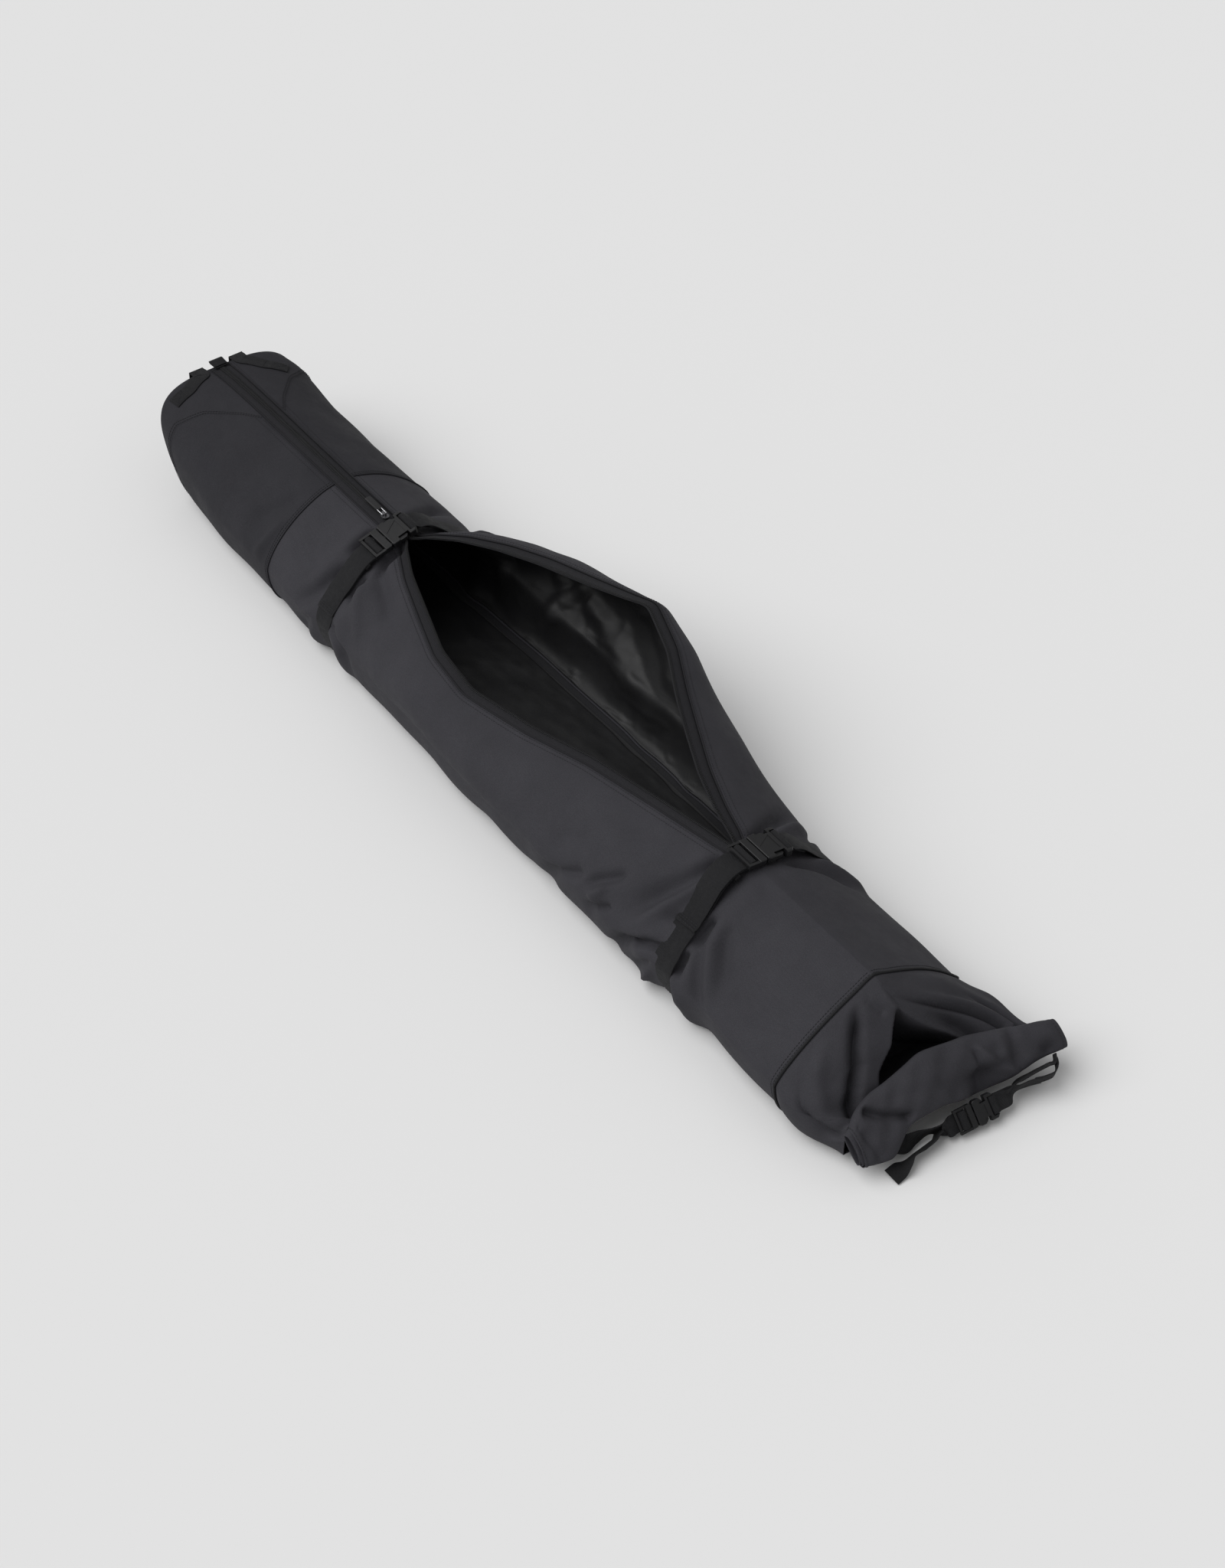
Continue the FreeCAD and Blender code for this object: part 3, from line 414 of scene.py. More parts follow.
def band(name, body, nodes, centres, across, width, thick, material=None, closed=False):
    """A strip of webbing with rounded edges, whose breadth lies along across at each centre."""
    _, across, out = band_frame(centres, across, closed)
    radius = thick / 2
    turns = np.radians([-90, -45, 0, 45, 90])
    half = np.full(len(centres), width / 2 - radius)
    profile = [(1, radius * math.cos(a), radius * math.sin(a)) for a in turns]
    profile += [(0.4, 0, radius), (-0.4, 0, radius)]
    profile += [(-1, -radius * math.cos(a), -radius * math.sin(a)) for a in turns]
    profile += [(-0.4, 0, -radius), (0.4, 0, -radius)]
    rings = [centres + across * (sign * half + extra)[:, None] + out * lift for sign, extra, lift in profile]
    rings = np.stack(rings, 1)
    rows, columns = rings.shape[:2]
    faces = capped_tube(rows, columns)
    if closed:
        last = (rows - 1) * columns
        faces[-2:] = [(last + j, last + (j + 1) % columns, (j + 1) % columns, j) for j in range(columns)]
    obj = new_object(name, rings.reshape(-1, 3), faces, material or WEBBING)
    faces_outwards(obj)
    sideways = np.stack([sign * half + extra for sign, extra, _ in profile], 1)
    for key, values in (("along", np.repeat(lengths_along(centres), columns)), ("breadth", sideways.ravel())):
        obj.data.attributes.new(key, "FLOAT", "POINT").data.foreach_set("value", values.astype(np.float32))
    return part(obj, body, "webbing", *nodes)


# ---- Stitching: rows of thread that lie on the fabric, collected and made at the end --------------
THREAD, STITCH, STITCH_GAP = 0.00042, 0.0034, 0.0011
stitch_rows = {}


def stitch(group, points, normals):
    stitch_rows.setdefault(group, []).append((np.asarray(points, float), np.asarray(normals, float)))


def copies(rings, rows, columns):
    """Verts and faces of many alike capsules, each made of rows rings of columns points."""
    size = rows * columns
    one = capped_tube(rows, columns)
    faces = [tuple(k + size * n for k in face) for n in range(len(rings)) for face in one]
    return rings.reshape(-1, 3), faces


def stitch_shapes(points, normals):
    """Small capsules, one per stitch, along a row."""
    run = lengths_along(points)
    starts = np.arange(0.0005, run[-1] - STITCH, STITCH + STITCH_GAP)
    if not len(starts):
        return np.zeros((0, 3)), []
    a, b = read_off(points, run, starts), read_off(points, run, starts + STITCH)
    out = unit(read_off(normals, run, starts + STITCH / 2))
    ring = circle(np.linspace(0, 2 * math.pi, 6, endpoint=False), np.cross(out, unit(b - a)), out)
    rings = []
    for share, swell, lift in ((0.0, 0.35, -0.3), (0.2, 1.0, 0.3), (0.8, 1.0, 0.3), (1.0, 0.35, -0.3)):
        middle = a + (b - a) * share + out * THREAD * lift
        rings.append(middle[:, None] + ring * THREAD * swell)
    return copies(np.stack(rings, 1), 4, 6)


def band_stitches(group, centres, across, low, high, half, lift, cross=True):
    """A sewn box, with a cross in it, on a strip's path between two lengths along it."""
    _, across, out = band_frame(centres, across)
    run = lengths_along(centres)

    def at(place, sideways):
        middle, breadth, up = (read_off(values, run, place) for values in (centres, across, out))
        return middle + breadth * sideways[:, None] + up * lift, up * np.sign(lift)

    share = np.linspace(0, 1, 14)
    corners = [(low, -half), (high, -half), (high, half), (low, half)]
    lines = list(zip(corners, corners[1:] + corners[:1]))
    if cross:
        lines += [((low, -half), (high, half)), ((low, half), (high, -half))]
    for (p0, s0), (p1, s1) in lines:
        stitch(group, *at(p0 + (p1 - p0) * share, s0 + (s1 - s0) * share))


# ---- Materials ----------------------------------------------------------------------------------
class Shader:
    """A material's node tree, with short ways to add nodes to it."""

    def __init__(self, name, colour, roughness, **settings):
        self.material = bpy.data.materials.new(name)
        self.material.use_nodes = True
        self.tree = self.material.node_tree
        self.surface = self.tree.nodes["Principled BSDF"]
        self.set(Base_Color=(*colour, 1.0), Roughness=roughness, **settings)
        self.place = self.tree.nodes.new("ShaderNodeTexCoord").outputs["Object"]
        self.colour, self.bumps = colour, None

    def set(self, **values):
        for key, value in values.items():
            self.surface.inputs[key.replace("_", " ")].default_value = value

    def node(self, kind, values=(), **settings):
        made = self.tree.nodes.new("ShaderNode" + kind)
        for key, value in settings.items():
            setattr(made, key, value)
        for key, value in dict(values).items():
            if isinstance(value, bpy.types.NodeSocket):
                self.tree.links.new(value, made.inputs[key])
            else:
                made.inputs[key].default_value = value
        return made

    def noise(self, scale, detail=3.0, rough=0.55):
        values = {"Vector": self.place, "Scale": scale, "Detail": detail, "Roughness": rough}
        return self.node("TexNoise", values).outputs["Fac"]

    def math(self, operation, a, b=0.0):
        return self.node("Math", {0: a, 1: b}, operation=operation).outputs[0]

    def span(self, value, low, high, start=0.3, end=0.7):
        values = {"Value": value, "From Min": start, "From Max": end, "To Min": low, "To Max": high}
        return self.node("MapRange", values).outputs["Result"]

    def bands(self, pitch, axis="X", place=None):
        """A wave from 0 to 1 with the given pitch in metres."""
        values = {"Vector": place or self.place, "Scale": 2 * math.pi / 20.0 / pitch, "Distortion": 0.0}
        return self.node("TexWave", values, bands_direction=axis).outputs["Fac"]

    def vary_colour(self, shade):
        """Multiply the base colour by a shade that changes over the surface."""
        scaled = self.node("VectorMath", {0: self.colour, "Scale": shade}, operation="SCALE").outputs["Vector"]
        self.tree.links.new(scaled, self.surface.inputs["Base Color"])

    def vary_roughness(self, value):
        self.tree.links.new(value, self.surface.inputs["Roughness"])

    def bump(self, height, distance, strength=1.0):
        values = {"Height": height, "Distance": distance, "Strength": strength}
        if self.bumps:
            values["Normal"] = self.bumps
        self.bumps = self.node("Bump", values).outputs["Normal"]
        self.tree.links.new(self.bumps, self.surface.inputs["Normal"])

    def slopes(self):
        """The place turned by 45 degrees about X, so that its axes run down the bag's two slopes."""
        turned = {"Vector": self.place, "Rotation": (math.radians(45), 0, 0)}
        return self.node("Mapping", turned).outputs["Vector"]

    def weave(self, pitch):
        """A plain weave that shows on slopes and upright faces alike."""
        slopes = self.slopes()
        cross = self.math("ADD", self.bands(pitch, "Y", slopes), self.bands(pitch, "Z", slopes))
        return self.math("ADD", self.bands(pitch, "X"), self.math("MULTIPLY", cross, 0.6))


def coated_fabric(name, colour, roughness, pitch=0.0011, crumple=0.35):
    """Woven polyester with a dull coating: weave, slight mottling and fine crumples."""
    s = Shader(name, colour, roughness, Sheen_Weight=0.01, Specular_IOR_Level=0.10)
    weave = s.weave(pitch)
    cloudy, grain = s.noise(14, 4), s.noise(900, 2)
    shade = s.math("MULTIPLY", s.span(cloudy, 0.93, 1.07), s.span(grain, 0.86, 1.14))
    s.vary_colour(s.math("MULTIPLY", shade, s.span(weave, 0.95, 1.05, 0.0, 2.2)))
    s.vary_roughness(s.span(s.noise(45, 3), roughness - 0.06, roughness + 0.06))
    s.bump(weave, 0.00022, 0.5)
    s.bump(s.noise(70, 4, 0.6), 0.0022, crumple)
    s.bump(s.noise(19, 3, 0.5), 0.006, crumple * 0.8)
    return s.material


def crinkled_lining():
    """Coated black lining: glossy, with sharp creases."""
    s = Shader("crinkled_lining", (0.0105, 0.0105, 0.0112), 0.50, Specular_IOR_Level=0.32)
    s.vary_roughness(s.span(s.noise(22, 3), 0.45, 0.60))
    s.bump(s.noise(9, 1.5, 0.5), 0.016, 0.45)
    s.bump(s.noise(48, 2, 0.5), 0.0014, 0.30)
    s.bump(s.weave(0.0009), 0.0001, 0.3)
    return s.material


def woven_webbing(name, colour, pitch=0.0019):
    """Polyester webbing: ribs across and a chevron down each half, from the strip's own lengths."""
    s = Shader(name, colour, 0.72, Sheen_Weight=0.015, Specular_IOR_Level=0.16)
    along = s.node("Attribute", attribute_name="along").outputs["Fac"]
    breadth = s.math("ABSOLUTE", s.node("Attribute", attribute_name="breadth").outputs["Fac"])
    turns = 2 * math.pi / pitch
    chevron = s.math("SINE", s.math("MULTIPLY", s.math("ADD", along, breadth), turns))
    rows = s.math("SINE", s.math("MULTIPLY", breadth, turns * 1.6))
    height = s.math("ADD", chevron, s.math("MULTIPLY", rows, 0.5))
    s.vary_colour(s.math("MULTIPLY", s.span(height, 0.80, 1.16, -1.5, 1.5), s.span(s.noise(300, 3), 0.88, 1.12)))
    s.vary_roughness(s.span(s.noise(120, 2), 0.66, 0.80))
    s.bump(height, 0.00028, 0.8)
    return s.material


def moulded_plastic(name, colour, roughness):
    """Acetal as it comes from the mould: a fine grain and slightly uneven gloss."""
    s = Shader(name, colour, roughness, Specular_IOR_Level=0.38)
    s.vary_colour(s.span(s.noise(40, 3), 0.9, 1.12))
    s.vary_roughness(s.span(s.noise(260, 3), roughness - 0.06, roughness + 0.08))
    s.bump(s.noise(1500, 2), 0.00006, 0.5)
    return s.material


def worn_metal(name, colour, roughness):
    s = Shader(name, colour, roughness, Metallic=1.0)
    s.vary_colour(s.span(s.noise(220, 3), 0.82, 1.08))
    s.vary_roughness(s.span(s.noise(500, 4), roughness - 0.08, roughness + 0.14))
    s.bump(s.noise(900, 2), 0.00004, 0.4)
    return s.material


def closed_foam():
    s = Shader("closed_foam", (0.030, 0.030, 0.032), 0.9)
    cells = s.node("TexVoronoi", {"Vector": s.place, "Scale": 700.0}).outputs["Distance"]
    s.vary_colour(s.span(cells, 0.8, 1.2, 0.0, 0.8))
    s.bump(cells, 0.0003, 0.7)
    return s.material


def zip_weave():
    """Zip tape: narrow ribs along the tape and a dull face."""
    s = Shader("zip_weave", (0.0200, 0.0197, 0.0222), 0.78, Specular_IOR_Level=0.14)
    ribs = s.bands(0.0016, "Z", s.slopes())
    height = s.math("ADD", s.math("ADD", s.bands(0.0008, "X"), ribs), s.bands(0.0016, "Y", s.slopes()))
    s.vary_colour(s.math("MULTIPLY", s.span(height, 0.85, 1.15, 0.0, 3.0), s.span(s.noise(400, 2), 0.88, 1.12)))
    s.bump(height, 0.00015, 0.7)
    return s.material


FABRIC = coated_fabric("shell_fabric", (0.0412, 0.0403, 0.0462), 0.76)
# The main panels' fabric with a darker colour: painted shade on the far end's sleeve, end panel, reinforcement and
# far piping
SHADED_END_FABRIC = coated_fabric("end_fabric_painted_shade", (0.0285, 0.0280, 0.0322), 0.76)
BASE_FABRIC = coated_fabric("base_fabric", (0.0230, 0.0230, 0.0250), 0.66, pitch=0.0016, crumple=0.2)
LINING = crinkled_lining()
WEBBING = woven_webbing("webbing", (0.0165, 0.0165, 0.0180))
THIN_WEBBING = woven_webbing("thin_webbing", (0.0150, 0.0150, 0.0165), pitch=0.0015)
ELASTIC = woven_webbing("elastic", (0.0130, 0.0130, 0.0140), pitch=0.0011)
RIB = coated_fabric("piping_fabric", (0.0180, 0.0180, 0.0195), 0.62, pitch=0.0009, crumple=0.1)
BINDING = coated_fabric("edge_binding", (0.0200, 0.0197, 0.0220), 0.75, pitch=0.0008, crumple=0.1)
TAPE = zip_weave()
COIL = moulded_plastic("zip_coil", (0.0160, 0.0160, 0.0174), 0.46)
PLASTIC = moulded_plastic("buckle_plastic", (0.0080, 0.0080, 0.0088), 0.40)
BOARD = moulded_plastic("board_plastic", (0.020, 0.020, 0.021), 0.55)
RUBBER = moulded_plastic("grip_rubber", (0.0140, 0.0140, 0.0150), 0.60)
NICKEL = worn_metal("dark_nickel", (0.20, 0.20, 0.21), 0.34)
BRIGHT = worn_metal("bright_steel", (0.74, 0.74, 0.76), 0.22)
FOAM = closed_foam()
THREAD_CLOTH = coated_fabric("sewing_thread", (0.0300, 0.0300, 0.0330), 0.6, pitch=0.0006, crumple=0.0)


# ---- Outer shell --------------------------------------------------------------------------------
SKIN_THICK = 0.0016
ROWS = np.unique(np.concatenate([
    np.linspace(X_END, X_SEAM_FAR, 78), np.linspace(X_SEAM_FAR, X_MOUTH_FAR, 40),
    np.linspace(X_MOUTH_FAR, X_MOUTH_NEAR, 176), np.linspace(X_MOUTH_NEAR, X_SEAM_NEAR, 66),
]))
SHARES = np.unique(np.concatenate([np.linspace(0, T_ZIP, 54), np.linspace(T_ZIP, 1, 7)]))
ZIP_COLUMN = int(np.searchsorted(SHARES, T_ZIP - 1e-9))
SEAM_ROW = int(np.searchsorted(ROWS, X_SEAM_FAR - 1e-9))
MOUTH_ROW = int(np.searchsorted(ROWS, X_MOUTH_NEAR - 1e-9))


def folded_skin(side):
    """One side's outer fabric with the folds that are drawn in, before the cloth moves."""
    x, t = np.meshgrid(ROWS, SHARES, indexing="ij")
    points = skin(x, t, side)
    millimetre = points - skin(x, t, side, 0.001)
    points = points + millimetre * 1000 * folds(x, t, side)[..., None]
    points[..., 1] += side * base_edge_shift(x, t)
    points[..., 2] = np.maximum(points[..., 2], 0.0)
    return points


# Settings of the cloth pass: polyester that is a little stiff, with up to 5.5 % of it to spare
CLOTH = {"quality": 5, "mass": 0.25, "tension_stiffness": 28.0, "compression_stiffness": 28.0,
         "shear_stiffness": 12.0, "bending_stiffness": 1.2, "tension_damping": 12.0,
         "compression_damping": 12.0, "shear_damping": 12.0, "air_damping": 3.0,
         "vertex_group_mass": "held", "vertex_group_shrink": "slack", "shrink_min": 0.0,
         "shrink_max": -0.055, "use_pressure": True, "uniform_pressure_force": 0.12}
CLOTH_FRAMES, CLOTH_CAP = 22, 0.011         # the cap is how far a point may move


def cloth_held(x, t):
    """1 where the cloth is sewn or pressed down, 0 where it may move."""
    held = (t < 0.02) | (t > 0.90) | (x < X_END + 0.006) | (x > X_SEAM_NEAR - 0.006)
    held |= np.abs(x - X_SEAM_FAR) < 0.006
    for name in X_STRAPS:
        held |= np.minimum(*(np.abs(x - strap_line(name, t, side)) for side in (-1, 1))) < 0.017
    return held


def cloth_slack(x, t):
    """How much spare fabric there is: near the straps, where it is gathered, and a little along the base."""
    slack = 0.16 + 0.30 * bell(t, 0.12, 0.12)
    for strap in X_STRAPS.values():
        slack = slack + 0.85 * bell(np.abs(x - strap), 0.055, 0.055) * bell(t, 0.45, 0.35)
    return np.clip(slack, 0.0, 1.0)


def cloth_pass(left, right):
    """Let Blender's cloth take up the spare fabric, and return the two sides as it leaves them."""
    rows, columns = left.shape[:2]
    points = np.concatenate([left, right[:, ::-1]], 1)
    faces = [f for f in grid_faces(rows, 2 * columns) if (f[0] % (2 * columns)) != columns - 1]
    obj = new_object("cloth_try", points.reshape(-1, 3), faces)
    x = np.repeat(ROWS, 2 * columns)
    t = np.tile(np.concatenate([SHARES, SHARES[::-1]]), rows)
    for name, weights in (("held", cloth_held(x, t).astype(float)), ("slack", cloth_slack(x, t))):
        group = obj.vertex_groups.new(name=name)
        for level in np.unique(np.round(weights, 2)):
            if level > 0:
                group.add(np.nonzero(np.round(weights, 2) == level)[0].tolist(), float(level), "REPLACE")
    cloth = obj.modifiers.new("Cloth", "CLOTH")
    for key, value in CLOTH.items():
        setattr(cloth.settings, key, value)
    cloth.settings.effector_weights.gravity = 0.0
    cloth.point_cache.frame_start, cloth.point_cache.frame_end = 1, CLOTH_FRAMES
    scene = bpy.context.scene
    for number in range(1, CLOTH_FRAMES + 1):
        scene.frame_set(number)
    moved = obj.evaluated_get(bpy.context.evaluated_depsgraph_get()).data
    after = np.empty(len(moved.vertices) * 3, np.float32)
    moved.vertices.foreach_get("co", after)
    after = after.reshape(rows, 2 * columns, 3).astype(float)
    scene.frame_set(1)
    bpy.data.objects.remove(obj)
    step = after - points
    length = np.linalg.norm(step, axis=-1, keepdims=True)
    after = points + step * (CLOTH_CAP * np.tanh(length / CLOTH_CAP) / np.maximum(length, 1e-9))
    after[..., 2] = np.maximum(after[..., 2], 0.0)
    return after[:, :columns], after[:, columns:][:, ::-1]


class Surface:
    """The finished fabric of one side, to place other pieces on."""

    def __init__(self, points, side):
        self.points = points
        self.normals = -side * unit(np.cross(np.gradient(points, axis=0), np.gradient(points, axis=1)))

    def at(self, x, t, lift=0.0):
        """Points at x and t, lift metres outside the fabric, and the fabric's normals there."""
        x, t = np.broadcast_arrays(np.asarray(x, float), np.asarray(t, float))
        row = np.interp(x, ROWS, np.arange(len(ROWS)))
        column = np.interp(t, SHARES, np.arange(len(SHARES)))
        i = np.clip(row.astype(int), 0, len(ROWS) - 2)
        j = np.clip(column.astype(int), 0, len(SHARES) - 2)
        a, b = (row - i)[..., None], (column - j)[..., None]

        def mix(values):
            low = values[i, j] * (1 - b) + values[i, j + 1] * b
            high = values[i + 1, j] * (1 - b) + values[i + 1, j + 1] * b
            return low * (1 - a) + high * a

        normals = unit(mix(self.normals))
        return mix(self.points) + normals * lift, normals


def make_surfaces():
    """Both sides' fabric, joined at the ridge wherever the mouth is closed."""
    left, right = folded_skin(-1), folded_skin(1)
    left, right = cloth_pass(left, right)
    closed = (ROWS <= X_MOUTH_FAR + 1e-9) | (ROWS >= X_MOUTH_NEAR - 1e-9)
    middle = (left[closed, -1] + right[closed, -1]) / 2
    left[closed, -1] = right[closed, -1] = middle
    return {-1: Surface(left, -1), 1: Surface(right, 1)}


SIDES = make_surfaces()


def shell_piece(name, first, last, material, *nodes):
    """The outer fabric between two rows, on both sides, and over the ridge where there is no zip."""
    columns = len(SHARES)
    points = np.concatenate([SIDES[-1].points, SIDES[1].points[:, ::-1]], 1)
    faces = []
    for i in range(first, last):
        for j in range(2 * columns - 1):
            over_zip = ZIP_COLUMN <= j < 2 * columns - 1 - ZIP_COLUMN
            if j == columns - 1 or (over_zip and i < MOUTH_ROW):
                continue
            a = i * 2 * columns + j
            faces.append([a, a + 1, a + 2 * columns + 1, a + 2 * columns])
    ridge = {i * 2 * columns + columns: i * 2 * columns + columns - 1 for i in range(first, last + 1)}
    faces = [[ridge.get(k, k) for k in face] for face in faces]
    used = np.unique(faces)
    place = np.zeros(points.shape[0] * points.shape[1], int)
    place[used] = np.arange(len(used))
    piece(name, points.reshape(-1, 3)[used], place[np.array(faces)], material, "bag", "shell_fabric", *nodes,
          wall=SKIN_THICK)


def shell():
    shell_piece("main_panels", SEAM_ROW, len(ROWS) - 1, FABRIC,
                "main_panel_left", "main_panel_right", "ridge_facing")
    # The end sleeve takes the darker copy of the fabric, which paints shade on it
    shell_piece("end_sleeve", 0, SEAM_ROW, SHADED_END_FABRIC, "end_sleeve_left", "end_sleeve_right")


def end_panel():
    """The closed far end: its fabric swells a little and is drawn in at the middle of its top edge."""
    left, right = SIDES[-1].points[0], SIDES[1].points[0]
    foot = np.linspace(right[0], left[0], 30)[1:-1]
    loop = np.concatenate([left, right[::-1][1:], foot])
    centre = loop.mean(0)
    rings = []
    for share in np.linspace(0, 1, 20)[:-1]:
        ring = centre + (loop - centre) * (1 - share)
        puff = 0.0055 * smooth(share * 2.2) + 0.0012 * np.sin(loop[:, 1] * 60 + 3 * share) * smooth(share * 3)
        ring[:, 0] -= puff
        ring[:, 2] += 0.0025 * share * np.sin(loop[:, 1] * 45 + 1)
        rings.append(ring)
    rings = np.array(rings)
    verts = np.concatenate([rings.reshape(-1, 3), [rings[-1].mean(0)]])
    columns = len(loop)
    faces = grid_faces(len(rings), columns, wrap=True)
    start = (len(rings) - 1) * columns
    faces += [(start + j, start + (j + 1) % columns, len(verts) - 1) for j in range(columns)]
    piece("end_panel", verts, faces, SHADED_END_FABRIC, "bag", "shell_fabric", "end_cap", wall=SKIN_THICK)


def reinforcement():
    """The second layer of fabric over the far end, with its curved hem on both slopes."""
    hem_t, hem_x = [0.02, 0.30, 0.53, 0.72, 0.84, 0.905], [-0.835, -0.832, -0.818, -0.782, -0.735, -0.700]
    shapes = []
    for side in (-1, 1):
        t = np.linspace(0.02, 0.905, 60)
        edge = np.interp(t, hem_t, hem_x)
        share = np.linspace(0, 1, 24)[:, None]
        x = X_END + 0.002 + (edge - X_END - 0.002) * share
        lift = 0.0011 * smooth((1 - share) / 0.02) * np.ones_like(x)
        points, normals = SIDES[side].at(x, np.broadcast_to(t, x.shape), 0.0)
        shapes.append(((points + normals * lift[..., None]).reshape(-1, 3), grid_faces(*x.shape)))
        for inset in (0.0035, 0.0085):
            stitch("bag", *SIDES[side].at(edge - inset, t, 0.0016))
    piece("end_reinforcement", *join(shapes), SHADED_END_FABRIC, "bag", "shell_fabric")


def zip_hems():
    """The panels' folded edges beside the zip, each with its rib and two rows of stitching."""
    shapes = []
    for side in (-1, 1):
        x = np.linspace(X_END + 0.004, X_MOUTH_NEAR, 420)
        points, _ = SIDES[side].at(x, T_ZIP, 0.0001)
        shapes.append(tube(points, 0.0013))
        for share in (0.016, 0.038):
            stitch("bag", *SIDES[side].at(x[3:-3], T_ZIP - share, 0.0002))
    piece("zip_hems", *join(shapes), BINDING, "bag", "shell_fabric")


def piping(name, x, low, high, radius, material, node):
    """The covered rib of a seam ring, which goes over the ridge if high is 1, and its stitching."""
    t = np.linspace(low, high, 120)
    left, right = (SIDES[side].at(x, t, radius * 0.8)[0] for side in (-1, 1))
    lines = [np.concatenate([left, right[::-1][1:]])] if high >= 1.0 else [left, right]
    for side in (-1, 1):
        for offset in (-0.0042, -0.0082):
            stitch("bag", *SIDES[side].at(x + offset, t, 0.0002))
    piece(name, *join([tube(line, radius) for line in lines]), material, "bag", "piping", node)


# ---- Layers inside ------------------------------------------------------------------------------
def crinkles(a, b, size):
    """Random-looking soft ridges over two lengths in metres."""
    height = np.zeros(np.broadcast(a, b).shape)
    for k in range(9):
        turn, pitch, phase = 2.4 * k + 0.6, 0.070 + 0.024 * ((k * 5) % 7), 1.7 * k
        wave = np.sin((a * math.cos(turn) + b * math.sin(turn)) * 2 * math.pi / pitch
                      + phase + 1.3 * np.sin(9 * a + k) + 1.1 * np.sin(23 * b + 2 * k))
        height += (1 - np.abs(wave)) ** 2
    return size * (height / 9 - 0.35) * 2.4


# Folds where the open lining sags: side, height, half width, then the line as (x, t)
LINING_FOLDS = [
    (1, 0.011, 0.022, (-0.126, 0.50), (-0.038, 0.40), (0.046, 0.26), (0.125, 0.16)),
    (1, 0.007, 0.020, (-0.090, 0.86), (-0.010, 0.72), (0.070, 0.52), (0.140, 0.36)),
    (1, -0.006, 0.014, (-0.060, 0.62), (0.020, 0.50), (0.110, 0.28)),
    (1, 0.006, 0.016, (0.060, 0.74), (0.110, 0.56), (0.200, 0.42)),
    (1, 0.006, 0.012, (0.180, 0.80), (0.230, 0.56), (0.330, 0.34)),
    (1, 0.007, 0.012, (-0.240, 0.80), (-0.200, 0.55), (-0.130, 0.30)),
    (-1, 0.007, 0.014, (-0.220, 0.70), (-0.120, 0.48), (0.020, 0.38)),
    (-1, 0.006, 0.012, (0.060, 0.66), (0.170, 0.44), (0.300, 0.34)),
]


def inner_layer(name, side, depth, thick, material, slot, node, wrinkle=0.0):
    """A sheet that follows one side's fabric at a depth inside it."""
    x = np.linspace(X_END + 0.008, X_SEAM_NEAR - 0.008, 300)
    x, t = np.meshgrid(x, np.linspace(0.015, 0.955, 64), indexing="ij")
    points, normals = SIDES[side].at(x, t)
    near_zip = smooth((t - 0.80) / 0.13)
    down = depth + (0.0030 - depth) * near_zip
    open_here = smooth((x - X_MOUTH_FAR) / 0.05) * smooth((X_MOUTH_NEAR - x) / 0.05)
    ripple = crinkles(x, t * GIRTH, wrinkle)
    if wrinkle:
        ripple += sum(high * crease(x, t, line, wide) for which, high, wide, *line in LINING_FOLDS if which == side)
    ripple *= smooth((0.93 - t) / 0.12) * (0.3 + 0.7 * open_here)
    points = points - normals * (down + np.maximum(ripple, -0.0005))[..., None]
    points[..., 2] = np.maximum(points[..., 2], 0.0055)
    return piece(name, points.reshape(-1, 3), grid_faces(*x.shape), material, "bag", slot, node,
                 wall=thick, offset=0.0)


def layers_inside():
    for word, side in BOTH_SIDES:
        node = "padding_" + word
        inner_layer(node + "_foam", side, 0.0032, 0.0022, FOAM, "foam", node)
        node = "lining_" + word
        inner_layer(node + "_cloth", side, 0.0066, 0.0007, LINING, "lining_fabric", node, 0.0040)


def base_outline(inset, count):
    """The base's left and right edges at count places along it, drawn in by inset."""
    rows = np.linspace(0, len(ROWS) - 1, count)
    left, right = (read_off(SIDES[side].points[:, 0], np.arange(len(ROWS)), rows) for side in (-1, 1))
    middle = (left + right) / 2
    left[:, 1] += inset
    right[:, 1] -= inset
    ends = middle[:, 0].min() + inset, middle[:, 0].max() - inset
    left[:, 0], right[:, 0] = np.clip(left[:, 0], *ends), np.clip(right[:, 0], *ends)
    return left, right


def flat_layer(name, inset, low, thick, material, slot, node, crown=0.0, wrinkle=0.0):
    """A closed sheet over the base: rounded at its rim, with a crown and wrinkles on top."""
    left, right = base_outline(inset, 240)
    share = (1 - np.cos(np.linspace(0, math.pi, 46))) / 2
    flat = left[:, None] + (right - left)[:, None] * share[None, :, None]
    rim = np.minimum(share, 1 - share)[None, :] * (right - left)[:, 1:2]
    ends = np.minimum(flat[..., 0] - flat[0, 0, 0], flat[-1, 0, 0] - flat[..., 0])
    rim = np.minimum(rim, ends)
    swell = np.sqrt(np.clip(rim / (thick / 2), 0, 1) * (2 - np.clip(rim / (thick / 2), 0, 1)))
    top, bottom = flat.copy(), flat.copy()
    top[..., 2] = low + thick / 2 + thick / 2 * swell + crown * smooth(rim / 0.04)
    top[..., 2] += np.maximum(crinkles(flat[..., 0], flat[..., 1], wrinkle), -0.001) * smooth(rim / 0.02)
    bottom[..., 2] = low + thick / 2 - thick / 2 * swell
    rows, columns = flat.shape[:2]
    faces = grid_faces(rows, columns) + [f[::-1] for f in grid_faces(rows, columns, start=rows * columns)]
    obj = new_object(name, np.concatenate([top.reshape(-1, 3), bottom.reshape(-1, 3)]), faces, material)
    faces_outwards(obj, weld=True)
    return part(obj, "bag", slot, node)


def base():
    flat_layer("base_fabric_sheet", 0.0, 0.0, 0.004, BASE_FABRIC, "base_fabric", "base_panel")
    pad = flat_layer("base_pad", 0.020, 0.0088, 0.005, LINING, "foam", "base_foam_pad", 0.0015, 0.0022)


# ---- Zip ----------------------------------------------------------------------------------------
X_SLIDER = -0.392
TOOTH_PITCH, TOOTH_LENGTH, TOOTH_THICK = 0.0022, 0.0046, 0.0015


